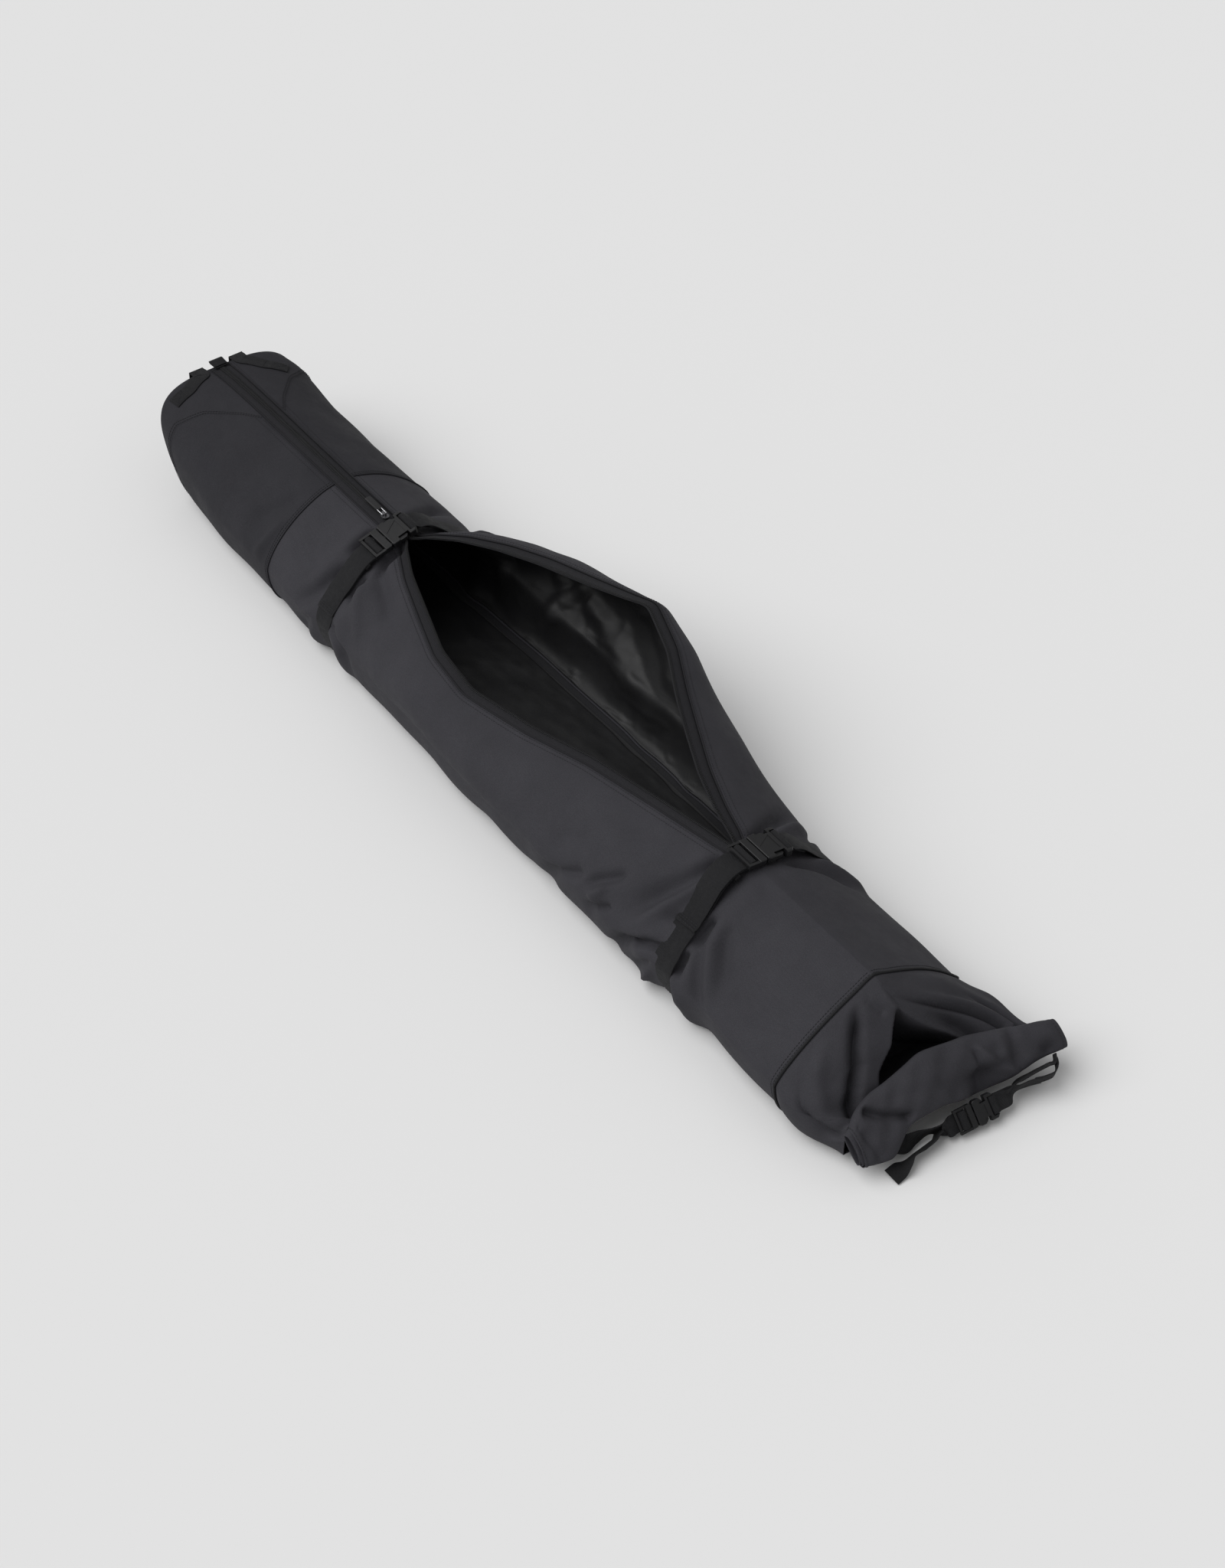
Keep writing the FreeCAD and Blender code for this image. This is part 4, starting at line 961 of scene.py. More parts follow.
def zip_tapes():
    """Each side's tape comes out from under the panel's hem and ends at the ridge or lip."""
    x = np.linspace(X_END + 0.003, X_MOUTH_NEAR + 0.004, 520)
    t = np.array([0.895, 0.905, 0.913, 0.919, 0.925, 0.94, 0.96, 0.98, 0.9985])
    lifts = np.array([-0.0030, -0.0030, -0.0026, -0.0016, -0.0010, -0.0008, -0.0007, -0.0007, -0.0007])
    for word, side in BOTH_SIDES:
        points, normals = SIDES[side].at(x[:, None], t[None, :])
        points = points + normals * lifts[None, :, None]
        piece("zip_tape_cloth_" + word, points.reshape(-1, 3), grid_faces(len(x), len(t)), TAPE,
              "bag", "zip_tape", "zip_tape_" + word, wall=0.0008, offset=0.0)
        stitch("bag", *SIDES[side].at(x[4:-4], 0.972, -0.0002))


def zip_teeth():
    """The coil, turn by turn: the two sides' turns mesh beyond the slider and stand apart before it."""
    turn = np.linspace(0, 2 * math.pi, 8, endpoint=False)
    line = np.linspace(X_END + 0.006, X_MOUTH_NEAR - 0.006, 2400)
    for word, side in BOTH_SIDES:
        run = lengths_along(SIDES[side].at(line, 0.997)[0])
        places = np.arange(TOOTH_PITCH * (1 if side > 0 else 1.5), run[-1], TOOTH_PITCH)
        x = np.interp(places, run, line)
        tip, out = SIDES[side].at(x, 0.9985)
        root, _ = SIDES[side].at(x, 0.975)
        across = unit(tip - root)
        reach = np.where(x < X_SLIDER - 0.006, 0.0006, -0.0004)[:, None]
        middle = tip + across * (reach - TOOTH_LENGTH / 2) + out * 0.0010
        ring = circle(turn, 0.92 * np.cross(out, across), out)
        rings = []
        for share, size in ((-0.5, 0.45), (-0.38, 0.95), (0.0, 1.0), (0.36, 1.05), (0.5, 0.5)):
            centre = middle + across * (share * TOOTH_LENGTH)
            rings.append(centre[:, None] + ring * (TOOTH_THICK / 2 * size))
        obj = new_object("zip_teeth_" + word, *copies(np.stack(rings, 1), len(rings), len(turn)), COIL)
        part(obj, "bag", "zip_coil", "zip_coil_" + word)


def end_tab():
    """The folded webbing tab at the closed end, sewn over the zip's end."""
    low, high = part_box("zip_end_tab")
    front, back, z = high[0], low[0], (low[2] + high[2]) / 2
    path = [(front, 0, z - 0.0010), (front - 0.010, 0, z - 0.0010), (back + 0.0028, 0, z - 0.0012),
            (back + 0.0008, 0, z), (back + 0.0028, 0, z + 0.0012), (front - 0.010, 0, z + 0.0011),
            (front - 0.002, 0, z + 0.0010)]
    centres = smooth_curve(path, 46)
    band("end_tab_webbing", "bag", ["zip_end_tab"], centres, (0, 1, 0), 0.023, 0.0014, THIN_WEBBING)
    top = centres[-18:][::-1]
    band_stitches("bag", top, (0, 1, 0), 0.0015, 0.0085, 0.0095, 0.00085)


# ---- Compression straps -------------------------------------------------------------------------
STRAP, NARROW, WEB, PLY = 0.038, 0.025, 0.0016, 0.0022
TAIL_LENGTH, SEWN_BACK = 0.105, 0.026
BUCKLE_SEATS = {"far_strap": (-0.025, 0.1745, 14), "near_strap": (0.0125, 0.1796, -10)}


def shifted(path, distance):
    """A path of (y, z) places moved sideways, to its left."""
    path = np.asarray(path, float)
    ahead = unit(np.gradient(path, axis=0))
    return path + distance * np.stack([-ahead[:, 1], ahead[:, 0]], -1)


def first_stretch(path, length):
    """The path up to a length along it."""
    path = np.asarray(path, float)
    run = lengths_along(path)
    return read_off(path, run, np.append(run[run < length], length))


def taut(path, end):
    """A path over a crown, pulled tight to an end point above it."""
    heading = 1 if end[0] > path[0][0] else -1
    kept = [tuple(point) for point in path if (end[0] - point[0]) * heading > 0]
    while len(kept) > 1:
        (a, b), (c, d) = kept[-2], kept[-1]
        turn = (c - a) * (end[1] - d) - (d - b) * (end[0] - c)
        if turn * heading <= 0:
            break
        kept.pop()
    return kept + [tuple(end)]


def ladder_path(width):
    """The webbing's way through the buckle's ladder: in below, over the middle bar, out on top."""
    small = width < 0.030
    base = -0.0095 if small else -0.013
    inner = base - 0.005
    middle = inner - (0.0043 if small else 0.0048)
    outer = middle - 0.005
    start = outer - (0.0035 if small else 0.004)
    m_in, m_out = (inner + base) / 2, (outer + middle) / 2
    way = [(start - 0.004, -0.0005), (middle, -0.0005), (inner - 0.0005, 0.0002), (m_in - 0.0006, 0.0022),
           (m_in, 0.0045), (m_in - 0.0004, 0.0068), (inner - 0.0003, 0.0083), (middle + 0.0003, 0.0083),
           (m_out + 0.0005, 0.0066), (m_out, 0.0046), (m_out - 0.0005, 0.0029), (outer - 0.0006, 0.0019)]
    return way + [(start - 0.004, 0.0017)]


def bar_path(width):
    """The short webbing's way round the bar at the back of the buckle's socket, from below."""
    end, thick = (0.032, 0.009) if width < 0.030 else (0.044, 0.011)
    way = [(end + 0.004, 0.0012), (end - 0.004, 0.0015), (end - 0.0062, 0.0022), (end - 0.007, 0.004)]
    way += [(end - 0.007, thick - 0.0036), (end - 0.0062, thick - 0.0019), (end - 0.004, thick - 0.0015)]
    return way + [(end, thick - 0.0017), (end + 0.005, 0.0036)]


def evenly(path, step=0.0025):
    """The path with a smooth line through its places, about step apart."""
    return smooth_curve(path, max(int(lengths_along(path)[-1] / step), 12))


def compression_strap(name):
    """Long webbing up the left side, through the ladder and back down; short webbing on the right."""
    x = X_STRAPS[name]
    y0, z0, tilt = BUCKLE_SEATS[name]
    c, s = math.cos(math.radians(tilt)), math.sin(math.radians(tilt))

    def across_bag(path):
        return [(y0 + u * c - w * s, z0 + u * s + w * c) for u, w in path]

    def over_fabric(side):
        t = np.linspace(0.035, 0.98, 60)
        points, _ = SIDES[side].at(strap_line(name, t, side), t, WEB / 2 + 0.0005)
        return points[:, 1:]

    def in_place(path, side):
        path = evenly(path)
        drop = np.clip((z0 - 0.01 - path[:, 1]) / z0, 0, 1)
        lean = STRAP_LEAN[name] * drop if side < 0 else 0 * drop
        return np.stack([x + lean, path[:, 0], path[:, 1]], -1)

    def half_strap(kind, word, side, hook, back_length, ripple):
        """One side's webbing: up over the fabric, through its end of the buckle and back over itself."""
        way = across_bag(hook)
        load = taut(over_fabric(side), way[0])
        back = shifted(first_stretch(load[::-1], back_length), side * PLY)
        back[:, 1] += ripple * np.sin(np.linspace(0, 9, len(back)))
        centres = in_place([*map(tuple, load), *way[1:], *map(tuple, back[1:])], side)
        band(name + kind, "bag", [name + "_webbing_" + word], centres, (1, 0, 0), STRAP, WEB)
        return centres, np.array(load[-2]), np.array(way[0])

    centres, before, start = half_strap("_long_webbing", "left", -1, ladder_path(STRAP), TAIL_LENGTH, 0.0009)
    end = centres[::-1]
    for low in (0.003, 0.0065, 0.010):
        band_stitches(name, end, (1, 0, 0), low, low + 0.0001, 0.016, -0.0009, cross=False)
    foot = centres[:18]
    band_stitches(name, foot, (1, 0, 0), 0.006, 0.030, 0.015, 0.0009 if foot[0][1] < foot[-1][1] else -0.0009)

    slope = unit(start - before)
    middle = start - slope * 0.012
    out = np.array([-slope[1], slope[0]])
    half, low, high = STRAP / 2 + 0.0013, -WEB / 2 - 0.0011, PLY + WEB / 2 + 0.0011
    turns = np.linspace(0, 2 * math.pi, 64, endpoint=False)
    wide = half * squarer(np.cos(turns), 0.28)
    tall = (low + high) / 2 + (high - low) / 2 * squarer(np.sin(turns), 0.55)
    ring = np.stack([x + wide, middle[0] + out[0] * tall, middle[1] + out[1] * tall], -1)
    band(name + "_elastic_keeper", "bag", [name + "_keeper"], ring, (0, *slope), 0.0096, 0.0011, ELASTIC, True)

    centres, *_ = half_strap("_short_webbing", "right", 1, bar_path(STRAP), SEWN_BACK, 0.0)
    band_stitches(name, centres[::-1], (1, 0, 0), 0.002, 0.021, 0.0155, 0.0009)
    band_stitches(name, centres[:18], (1, 0, 0), 0.006, 0.030, 0.015, -0.0009)


# ---- Haul handle on the closed end ----------------------------------------------------------------
HINGE = np.array([-0.882, 0.0, 0.172])
LEG, REACH = 0.036, 0.058


def handle_anchors():
    """The handle's two sewn-down ends, which run from its hinge line out over the slopes."""
    ways = {-1: ([-0.848, -0.846, -0.860], [0.62, 0.76, 0.87]), 1: ([-0.812, -0.832, -0.860], [0.68, 0.79, 0.87])}
    for word, side in BOTH_SIDES:
        x, t = (np.interp(np.linspace(0, 2, 14), [0, 1, 2], values) for values in ways[side])
        points, normals = SIDES[side].at(x, t, 0.0024)
        rows = [(*point, *(normal * 0.02)) for point, normal in zip(points, normals)]
        rows += [(*(HINGE + (0.0065, side * LEG, -0.0010)), -0.002, 0, 0.02)]
        rows += [(*(HINGE + (0.0015, side * LEG, -0.0020)), -0.008, 0, 0.018)]
        curve = smooth_curve(rows, 60)
        centres, out = curve[:, :3], unit(curve[:, 3:])
        across = np.cross(out, unit(np.gradient(centres, axis=0)))
        band("handle_anchor_webbing_" + word, "bag", ["handle_anchor_" + word], centres, across, NARROW, WEB)
        lift = 0.0009 * np.sign(np.sum(band_frame(centres, across)[2][8] * out[8]))
        band_stitches("bag", centres, across, 0.003, 0.024, 0.0095, lift)
        band_stitches("bag", centres, across, 0.038, 0.0382, 0.0100, lift, cross=False)


def haul_handle():
    """Two legs and a cross-bar, folded square at the corners, and the padded wrap on the bar."""
    x, top, bottom = HINGE[0], HINGE[2], HINGE[2] - REACH
    bar_z = bottom + NARROW / 2
    for word, side in BOTH_SIDES:
        path = [(x, side * LEG, top - 0.0015), (x - 0.0007, side * LEG, top - 0.018),
                (x - 0.0003, side * LEG, top - 0.038), (x, side * LEG, bottom + 0.0006)]
        centres = smooth_curve(path, 26)
        band("handle_leg_" + word, "handle_loop", [], centres, (0, 1, 0), NARROW, WEB)
        band_stitches("handle_loop", centres[::-1], (0, 1, 0), 0.003, 0.021, 0.0095, 0.0009 * side)
    y = np.linspace(-LEG - NARROW / 2 + 0.0005, LEG + NARROW / 2 - 0.0005, 60)
    bend = 0.0016 * smooth((np.abs(y) - 0.020) / 0.006)
    centres = np.stack([x + bend, y, np.full(60, bar_z)], -1)
    band("handle_bar", "handle_loop", ["haul_handle"], centres, (0, 0, 1), NARROW, WEB)

    rows, columns = 56, 40
    turn = np.linspace(0, 2 * math.pi, columns, endpoint=False)
    rings = []
    for share in np.linspace(-1, 1, rows):
        tight = 1 - 0.30 * smooth((abs(share) - 0.86) / 0.14)
        puckers = 0.00035 * np.sin(share * 70 + 2 * turn) * smooth((0.92 - abs(share)) / 0.1)
        tall, deep = (NARROW / 2 + 0.0024) * (1 - 0.10 * (1 - tight)), 0.0042 * tight
        ring_x = x + (deep + puckers) * squarer(np.cos(turn), 0.8)
        ring_z = bar_z + tall * squarer(np.sin(turn), 0.62)
        rings.append(np.stack([ring_x, np.full(columns, share * 0.0220), ring_z], -1))
    rings = np.array(rings)
    faces = grid_faces(rows, columns, wrap=True)
    piece("handle_wrap_cloth", rings.reshape(-1, 3), faces, BINDING,
                    "handle_loop", "webbing", "haul_handle_wrap", wall=0.0010)
    for row in (4, rows - 5):
        stitch("handle_loop", rings[row], unit(rings[row] - rings[row].mean(0)))


# ---- Collar: the fabric between the near seam and the roll ----------------------------------------
CORNER_DROP = 0.032     # how far its bottom corners hang below the roll's heart
MARGIN = 0.08           # the share of s that tucks under at each bottom edge
# Valleys and ridges in it: height, half width, then the line as (u, s): u runs from the seam to the
# roll, s from the left bottom edge over the top to the right one
COLLAR_FOLDS = [
    (-0.021, 0.015, (0.06, 0.385), (0.26, 0.351), (0.60, 0.289), (0.74, 0.235), (0.94, 0.115)),
    (0.006, 0.022, (0.04, 0.300), (0.50, 0.190), (1.00, 0.040)),
    (-0.006, 0.016, (0.20, 0.200), (0.60, 0.090), (1.00, 0.000)),
    (-0.009, 0.012, (0.30, 0.530), (0.60, 0.680), (0.90, 0.810)),
    (0.005, 0.014, (0.30, 0.600), (0.60, 0.740), (0.90, 0.850)),
    (-0.009, 0.012, (0.42, 0.740), (0.66, 0.820), (0.95, 0.900)),
    (-0.015, 0.034, (0.55, 0.600), (0.74, 0.650), (1.00, 0.700)),
    (0.004, 0.018, (0.05, 0.470), (0.25, 0.465), (0.38, 0.464)),
    (-0.004, 0.014, (0.02, 0.430), (0.16, 0.410), (0.34, 0.420)),
]


def collar_foot():
    """The seam ring that the collar starts from: s from the left bottom edge to the right, and points."""
    s = np.linspace(0, 1, 201)
    left, _ = SIDES[-1].at(X_SEAM_NEAR - 0.001, np.clip(2 * s, 0, 1), -0.0006)
    right, _ = SIDES[1].at(X_SEAM_NEAR - 0.001, np.clip(2 - 2 * s, 0, 1), -0.0006)
    return s, np.where((s < 0.5)[:, None], left, right)


def collar_sheet(u, s):
    """The collar without its folds: a sheet bent from the seam ring down to the line of the roll."""
    places, ring = collar_foot()
    foot = read_off(ring, places, s)
    inner = np.clip((s - MARGIN) / (1 - 2 * MARGIN), 0, 1)
    arch = np.sin(math.pi * inner) ** 0.6
    low = smooth(s / 0.10) * smooth((1.0 - s) / 0.10)
    end = roll_surface(0.0, ROLL_LEFT + (ROLL_RIGHT - ROLL_LEFT) * inner)
    end[..., 2] -= CORNER_DROP * (1 - low)
    wide = 1.0 + 0.05 * (1 - arch) + np.where(foot[..., 1] > 0, 0.13, -0.05) * (1 - arch * 0.3)
    top = smooth((foot[..., 2] - 0.05) / 0.10)
    middle = np.stack([0.776 + 0.006 * (1 - top), foot[..., 1] * wide + 0.010 * top,
                       foot[..., 2] * (0.83 + 0.05 * (1 - top))], -1)
    pull = 2 * (middle - 0.25 * (foot + end))
    u = u[..., None]
    return (1 - u) ** 2 * foot + 2 * u * (1 - u) * pull + u * u * end


def hollow(u, s):
    """1 inside the deep hollow behind the roll, 0 outside it; its walls are steep."""
    left = np.interp(u, [0.40, 0.54, 0.67, 0.81, 1.00], [0.462, 0.417, 0.381, 0.304, 0.230])
    right = np.interp(u, [0.40, 0.48, 0.65, 0.81, 1.00], [0.470, 0.509, 0.548, 0.601, 0.660])
    inside = smooth((s - left) / 0.020) * smooth((right - s) / 0.024)
    return inside * smooth((u - 0.40) / 0.09) * (1 - 0.55 * smooth((u - 0.74) / 0.26))


def collar():
    """The collar's top and its flat bottom, welded into one tube of cloth."""
    u, s = np.meshgrid(np.linspace(0, 1, 110), np.linspace(0, 1, 320), indexing="ij")
    points = collar_sheet(u, s)
    out = unit(np.cross(np.gradient(points, axis=1), np.gradient(points, axis=0)))
    out *= np.sign(np.sum(out * (points - np.array([0.76, 0.0, 0.03])), -1, keepdims=True))
    inner = (s - MARGIN) / (1 - 2 * MARGIN)
    lift = np.zeros(u.shape)
    for height, width, *line in COLLAR_FOLDS:
        near, run = np.full(u.shape, FAR), np.zeros(u.shape)
        for (ua, sa), (ub, sb) in zip(line, line[1:]):
            share = np.clip(((u - ua) * (ub - ua) * 0.1 + (inner - sa) * (sb - sa)) /
                            ((ub - ua) ** 2 * 0.1 + (sb - sa) ** 2), 0, 1)
            away = np.hypot((u - ua - share * (ub - ua)) * 0.30, inner - sa - share * (sb - sa))
            run = np.where(away < near, ua + share * (ub - ua), run)
            near = np.minimum(near, away)
        lift += height * np.exp(-(near / width) ** 2) * smooth((run - line[0][0]) / 0.30 + 0.1)
    lift += 0.0012 * np.sin(19 * inner + 7 * u) * smooth(u / 0.2) + 0.0008 * np.sin(41 * inner - 11 * u)
    lift *= smooth(u / 0.10) * smooth(inner / 0.06 + 0.3) * smooth((1 - inner) / 0.06 + 0.3)
    points = points + out * lift[..., None]
    deep = hollow(u, inner)
    points[..., 0] -= 0.060 * deep
    points[..., 1] += 0.30 * deep * (inner - 0.44)
    points[..., 2] -= 0.110 * deep
    points[..., 2] = np.maximum(points[..., 2], 0.0025)

    floor_rows = np.linspace(0, 1, 40)
    left_edge, right_edge = points[:, 0], points[:, -1]
    bottom = left_edge[:, None] + (right_edge - left_edge)[:, None] * floor_rows[None, :, None]
    verts = np.concatenate([points.reshape(-1, 3), bottom.reshape(-1, 3)])
    faces = grid_faces(*u.shape) + grid_faces(u.shape[0], 40, start=u.size)
    obj = new_object("collar_cloth", verts, faces, FABRIC)
    faces_outwards(obj, weld=True)
    thicken(obj, 0.0012)
    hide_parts("roll_collar")
    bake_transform(obj)


# ---- Roll -----------------------------------------------------------------------------------------
# y, then the roll's centre x and z, its breadth and its thickness
ROLL = np.array([
    (-0.124, 0.850, 0.047, 0.052, 0.020), (-0.100, 0.846, 0.051, 0.076, 0.026), (-0.078, 0.845, 0.053, 0.088, 0.030),
    (-0.045, 0.836, 0.067, 0.067, 0.031), (0.010, 0.834, 0.075, 0.076, 0.032), (0.050, 0.840, 0.069, 0.080, 0.032),
    (0.080, 0.843, 0.065, 0.082, 0.031), (0.110, 0.849, 0.062, 0.072, 0.028), (0.155, 0.857, 0.061, 0.054, 0.024),
    (0.185, 0.864, 0.061, 0.050, 0.027), (0.201, 0.868, 0.060, 0.042, 0.021),
])
ROLL_LEFT, ROLL_RIGHT, ROLL_TURNS = -0.124, 0.201, 3.2
ROLL_STEP = 0.0030      # from one winding to the next
BAND_HALF = 0.036       # half of the band's usual breadth
# Dents (negative) and bumps of the roll: size, y, its half width, place across the band, its half width
ROLL_DENTS = [
    (-0.008, 0.177, 0.011, 0.55, 0.40), (0.004, -0.010, 0.040, 0.10, 0.70),
    (0.004, 0.188, 0.012, -0.20, 0.50), (-0.004, 0.040, 0.018, -0.70, 0.40),
]
# Narrow folds of the roll: height, half width, then the line as (y, place across the band)
ROLL_FOLDS = [
    (-0.015, 0.0055, (-0.090, -0.70), (-0.080, -0.40), (-0.057, 0.15), (-0.042, 0.55)),
    (0.007, 0.0070, (0.086, -0.35), (0.104, 0.40), (0.126, 0.80)),
    (-0.006, 0.0050, (0.080, -0.30), (0.079, 0.05), (0.084, 0.30)),
    (-0.007, 0.0090, (0.141, -0.90), (0.132, 0.05), (0.131, 0.75)),
    (0.003, 0.0070, (0.120, -0.70), (0.116, -0.10)),
    (-0.004, 0.0060, (-0.110, -0.60), (-0.104, 0.10), (-0.100, 0.70)),
    (-0.003, 0.0080, (0.015, 0.20), (0.030, 0.70)),
]


def roll_place(y, p, q):
    """Where a place of the roll's section comes to lie: p is across the band, q through it."""
    x, z, breadth, thick = rounded_table(ROLL, y, 0.009)
    place = 2 * p / breadth
    dent = sum(size * bell(y, y0, y_width) * bell(place, place0, place_width)
               for size, y0, y_width, place0, place_width in ROLL_DENTS)
    dent = dent - 0.028 * bell(y, 0.082, 0.030) * smooth(place / 0.40)
    for height, width, *line in ROLL_FOLDS:
        near, _ = nearest(y, place * BAND_HALF, np.array(line) * (1.0, BAND_HALF))
        dent = dent + height * bell(near, 0.0, width)
    dent = dent + 0.0008 * np.sin(150 * y + 150 * p + 2) + 0.0007 * np.sin(83 * y - 210 * p)
    squash = np.maximum(1 + dent / thick, 0.14)
    q = (q + thick / 2) * squash - thick / 2
    c = math.cos(math.radians(45))      # the band leans back by 45 degrees
    return np.stack([x + (p + q) * c, y + 0 * p, z + (q - p) * c], -1)


def roll_surface(turn, y):
    """Points of the rolled sheet: turn counts its windings from the outside, y runs along the roll."""
    breadth, thick = rounded_table(ROLL, y, 0.009)[2:]
    angle = 2 * math.pi * turn + math.radians(240)
    inset = ROLL_STEP * turn
    loose = 0.0010 * np.sin(3 * angle + 26 * y) + 0.0008 * np.sin(2 * angle + 61 * y)
    half, deep = breadth / 2 - inset, thick / 2 - inset * np.clip(thick / 0.031, 0.3, 1.0)
    return roll_place(y, (half + loose) * squarer(np.cos(angle), 0.80), deep * squarer(np.sin(angle), 0.75))


def roll():
    """The rolled end: its sheet in two lengths, its hems' stitching and the stiffener at its heart."""
    y = np.linspace(ROLL_LEFT, ROLL_RIGHT, 190)
    for name, low, high, node in (("rolled_cloth_outer", 0.0, 1.12, "rolled_top"),
                                  ("rolled_cloth_inner", 1.12, ROLL_TURNS, "roll_inner_turns")):
        turn = np.linspace(low, high, int(120 * (high - low)))
        grid_turn, grid_y = np.meshgrid(turn, y, indexing="ij")
        ragged = 0.0035 * np.sin(2.3 * grid_turn) * smooth((ROLL_LEFT + 0.02 - grid_y) / 0.02)
        points = roll_surface(grid_turn, grid_y)
        points[..., 1] += ragged
        piece(name, points.reshape(-1, 3), grid_faces(len(turn), len(y)), FABRIC,
              "rolled_end", "shell_fabric", node, wall=0.0011, offset=0.0)
    for edge in (ROLL_LEFT + 0.006, ROLL_RIGHT - 0.006):
        turn = np.linspace(0.02, 1.0, 160)
        points = roll_surface(turn, np.full(160, edge))
        out = unit(points - roll_surface(turn + 0.5, np.full(160, edge)))
        stitch("rolled_end", points + out * 0.0007, out)

    y = np.linspace(ROLL_LEFT + 0.006, ROLL_RIGHT - 0.010, 120)
    corner = np.radians(np.arange(0, 360, 22.5))
    p, q = 0.016 * squarer(np.cos(corner), 0.25), 0.0010 * squarer(np.sin(corner), 0.6)
    fits = smooth((ROLL_RIGHT - y) / 0.05) * 0.5 + 0.5
    rings = roll_place(y[:, None] + 0 * p, p * fits[:, None], q + 0 * y[:, None])
    piece("roll_stiffener", rings.reshape(-1, 3), capped_tube(len(y), len(p)), BOARD,
          "rolled_end", "board", "roll_batten")


# ---- Roll strap -----------------------------------------------------------------------------------
def roll_strap():
    """The strap that pulls the roll's two tips together across its front."""
    along = unit(np.array([0.10, 0.99, 0.05]))
    face = np.array([0.70, -0.10, 0.70])
    face = unit(face - along * face.dot(along))
    across = np.cross(face, along)
    origin = np.array([0.880, 0.048, 0.021])

    def world(u, v, w):
        return origin + along * u + across * v + face * w

    def rows(*items):
        return [(*point, *(np.asarray(breadth) * 0.02)) for point, breadth in items]

    def through(way):
        return rows(*((world(u, 0, w), across) for u, w in way))

    def ribbon(name, path, count, *nodes):
        curve = smooth_curve(path, count)
        band(name, "rolled_end", nodes, curve[:, :3], curve[:, 3:], NARROW, WEB)
        return curve

    flat, edge_on = np.array([-0.57, 0.42, 0.71]), np.array([0.57, -0.42, 0.70])
    slack = 0.40 * flat + 0.92 * edge_on
    way = ladder_path(NARROW)
    start = way[0][0]
    hook = through(way)
    load = rows(((0.856, -0.070, 0.031), flat), ((0.865, -0.056, 0.0225), flat),
                ((0.8665, -0.034, 0.0215), 0.75 * flat + 0.66 * edge_on), ((0.8695, -0.010, 0.0205), slack),
                (world(start - 0.008, 0.0, -0.0012), 0.85 * across + 0.4 * edge_on))
    tail = rows((world(start - 0.007, -0.001, 0.0026), across), ((0.8735, 0.002, 0.0175), edge_on),
                ((0.8785, -0.014, 0.0140), edge_on), ((0.8795, -0.032, 0.0112), edge_on),
                ((0.8805, -0.054, 0.0104), edge_on), ((0.8835, -0.066, 0.0090), (0.80, 0.05, 0.45)),
                ((0.8850, -0.078, 0.0062), (0.80, 0.50, -0.05)), ((0.8865, -0.091, 0.0050), (0.76, 0.61, -0.20)))
    curve = ribbon("roll_strap_long", load + hook + tail, 240, "roll_strap_left")
    band_stitches("rolled_end", curve[::-1, :3], curve[::-1, 3:], 0.002, 0.007, 0.0095, 0.0009, cross=False)

    end = 0.037
    hook = through(bar_path(NARROW))
    under = rows(((0.8810, 0.184, 0.0440), slack), ((0.8873, 0.179, 0.0385), edge_on),
                 ((0.8851, 0.169, 0.0360), edge_on), ((0.8812, 0.147, 0.0322), edge_on),
                 ((0.8790, 0.122, 0.0282), edge_on), (world(end + 0.016, 0.0, 0.0006), 0.6 * across + 0.7 * edge_on))
    back = rows((world(end + 0.012, 0, 0.0044), across), ((0.8855, 0.118, 0.0262), slack),
                ((0.8885, 0.136, 0.0268), slack), ((0.8950, 0.152, 0.0282), slack))
    curve = ribbon("roll_strap_short", under + hook + back, 220, "roll_strap_right")
    band_stitches("rolled_end", curve[::-1, :3], curve[::-1, 3:], 0.002, 0.014, 0.0095, 0.0009)
    loop = rows(((0.8865, 0.1815, 0.0400), slack), ((0.8935, 0.178, 0.0365), slack), ((0.8985, 0.170, 0.0320), slack),
                ((0.8965, 0.157, 0.0302), slack), ((0.8905, 0.142, 0.0292), slack))
    ribbon("roll_strap_tip", loop, 60)


# ---- Sewing and the CAD parts' materials ----------------------------------------------------------
def sew():
    """Make one object of stitches for each group: bag, far_strap, near_strap, handle_loop, rolled_end."""
    for group, rows in stitch_rows.items():
        verts, faces = join([stitch_shapes(points, normals) for points, normals in rows])
        obj = new_object("stitches_" + group, verts, faces, THREAD_CLOTH)
        part(obj, group if group in frame["bodies"] else "bag", "webbing" if "strap" in group else "shell_fabric")


def finish_cad_materials():
    looks = [("buckle", PLASTIC), ("board", BOARD), ("batten", BOARD), ("pull_ring", BRIGHT), ("pull_grip", RUBBER),
             ("zip_slider", NICKEL), ("zip_stop", NICKEL), ("tape", TAPE), ("coil", COIL), ("lining", LINING),
             ("foam", FOAM), ("padding", FOAM), ("piping", RIB), ("base_panel", BASE_FABRIC), ("strap", WEBBING),
             ("handle", WEBBING), ("zip_end_tab", THIN_WEBBING)]
    for name, obj in NODES.items():
        look = next((material for word, material in looks if word in name), FABRIC)
        if not obj.data.materials:
            obj.data.materials.append(look)
        for k in range(len(obj.material_slots)):
            obj.material_slots[k].material = look


# ---- Camera, floor and light --------------------------------------------------------------------
AZIMUTH, ELEVATION, DISTANCE = math.radians(53.6), math.radians(44.8), 4.0
TARGET = (0.1143, 0.0454, 0.0)      # the point that the camera looks at
LENS, SENSOR = 64.3, 36.0           # in millimetres
SUN_PLACE, SUN_ENERGY, SUN_SPREAD = (-0.26, -0.52, 0.80), 2.10, 1.05
SKY_STRENGTH, PAPER_WHITE, FLOOR_REACH, FLOOR_Z = 0.380, 0.825, 30, -0.0005


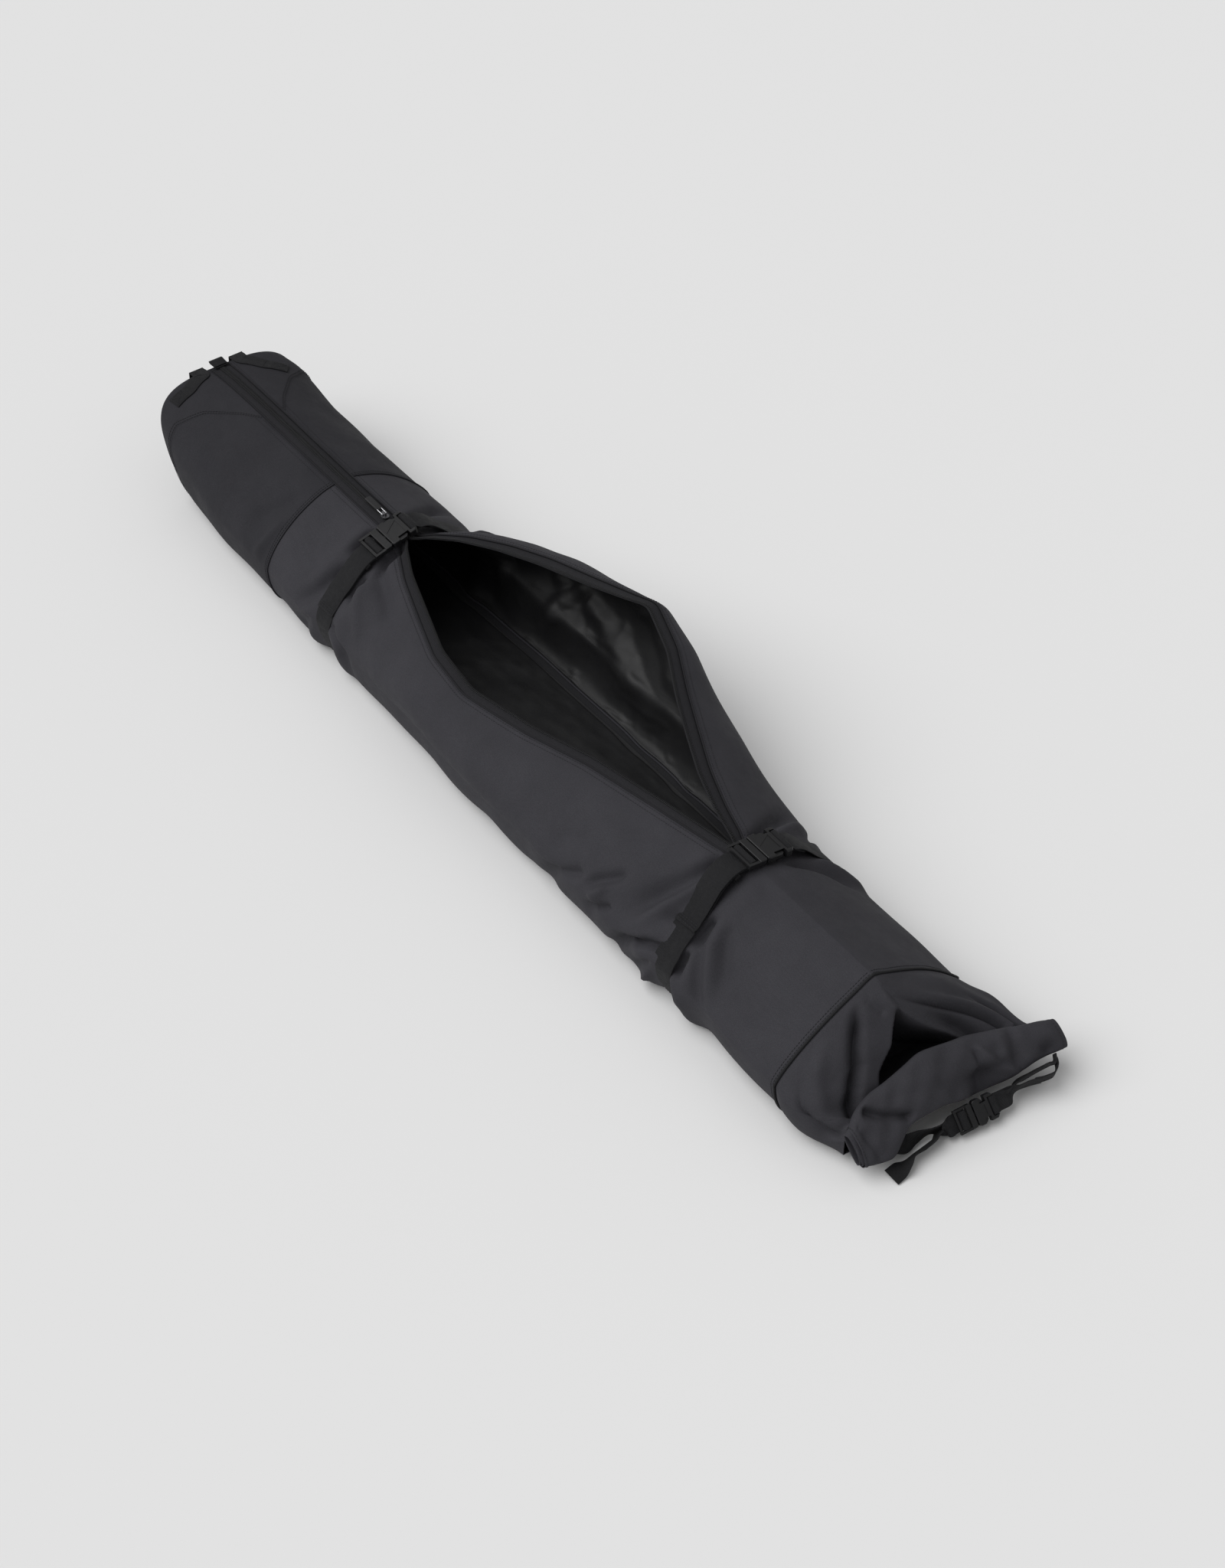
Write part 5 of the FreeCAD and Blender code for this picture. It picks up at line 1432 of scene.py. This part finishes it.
def aim(obj, towards):
    """Turn a camera or lamp along a direction, and put it in the scene."""
    obj.rotation_mode = "QUATERNION"
    obj.rotation_quaternion = towards.to_track_quat("-Z", "Y")
    bpy.context.scene.collection.objects.link(obj)


def camera():
    back = Vector((math.sin(AZIMUTH) * math.cos(ELEVATION), -math.cos(AZIMUTH) * math.cos(ELEVATION),
                   math.sin(ELEVATION)))
    data = bpy.data.cameras.new("camera")
    data.lens, data.sensor_width, data.sensor_fit = LENS, SENSOR, "AUTO"
    cam = bpy.data.objects.new("camera", data)
    cam.location = Vector(TARGET) + back * DISTANCE
    aim(cam, -back)
    bpy.context.scene.camera = cam


def studio():
    world = bpy.data.worlds.new("studio")
    world.use_nodes = True
    background = world.node_tree.nodes["Background"]
    background.inputs["Color"].default_value = (1.0, 1.0, 1.0, 1.0)
    background.inputs["Strength"].default_value = SKY_STRENGTH
    bpy.context.scene.world = world
    soft = bpy.data.lights.new("soft_key", "SUN")
    soft.energy, soft.angle = SUN_ENERGY, SUN_SPREAD
    lamp = bpy.data.objects.new("soft_key", soft)
    aim(lamp, -Vector(SUN_PLACE))
    corners = [(x * FLOOR_REACH, y * FLOOR_REACH, FLOOR_Z) for x, y in ((-1, -1), (1, -1), (1, 1), (-1, 1))]
    paper = Shader("floor", (PAPER_WHITE,) * 3, 0.9)
    floor = new_object("floor", corners, [(0, 1, 2, 3)], paper.material, False)
    bpy.context.scene.view_settings.view_transform = "Standard"


# ---- Put it together ----------------------------------------------------------------------------
camera()
studio()
shell()
end_panel()
reinforcement()
zip_hems()
piping("seam_rib_far", X_SEAM_FAR, 0.04, 0.91, 0.0012, SHADED_END_FABRIC, "seam_piping_far")
piping("seam_rib_near", X_SEAM_NEAR - 0.004, 0.04, 1.0, 0.0019, RIB, "seam_piping_near")
layers_inside()
base()
zip_tapes()
zip_teeth()
end_tab()
compression_strap("far_strap")
compression_strap("near_strap")
handle_anchors()
haul_handle()
collar()
roll()
roll_strap()
sew()
finish_cad_materials()
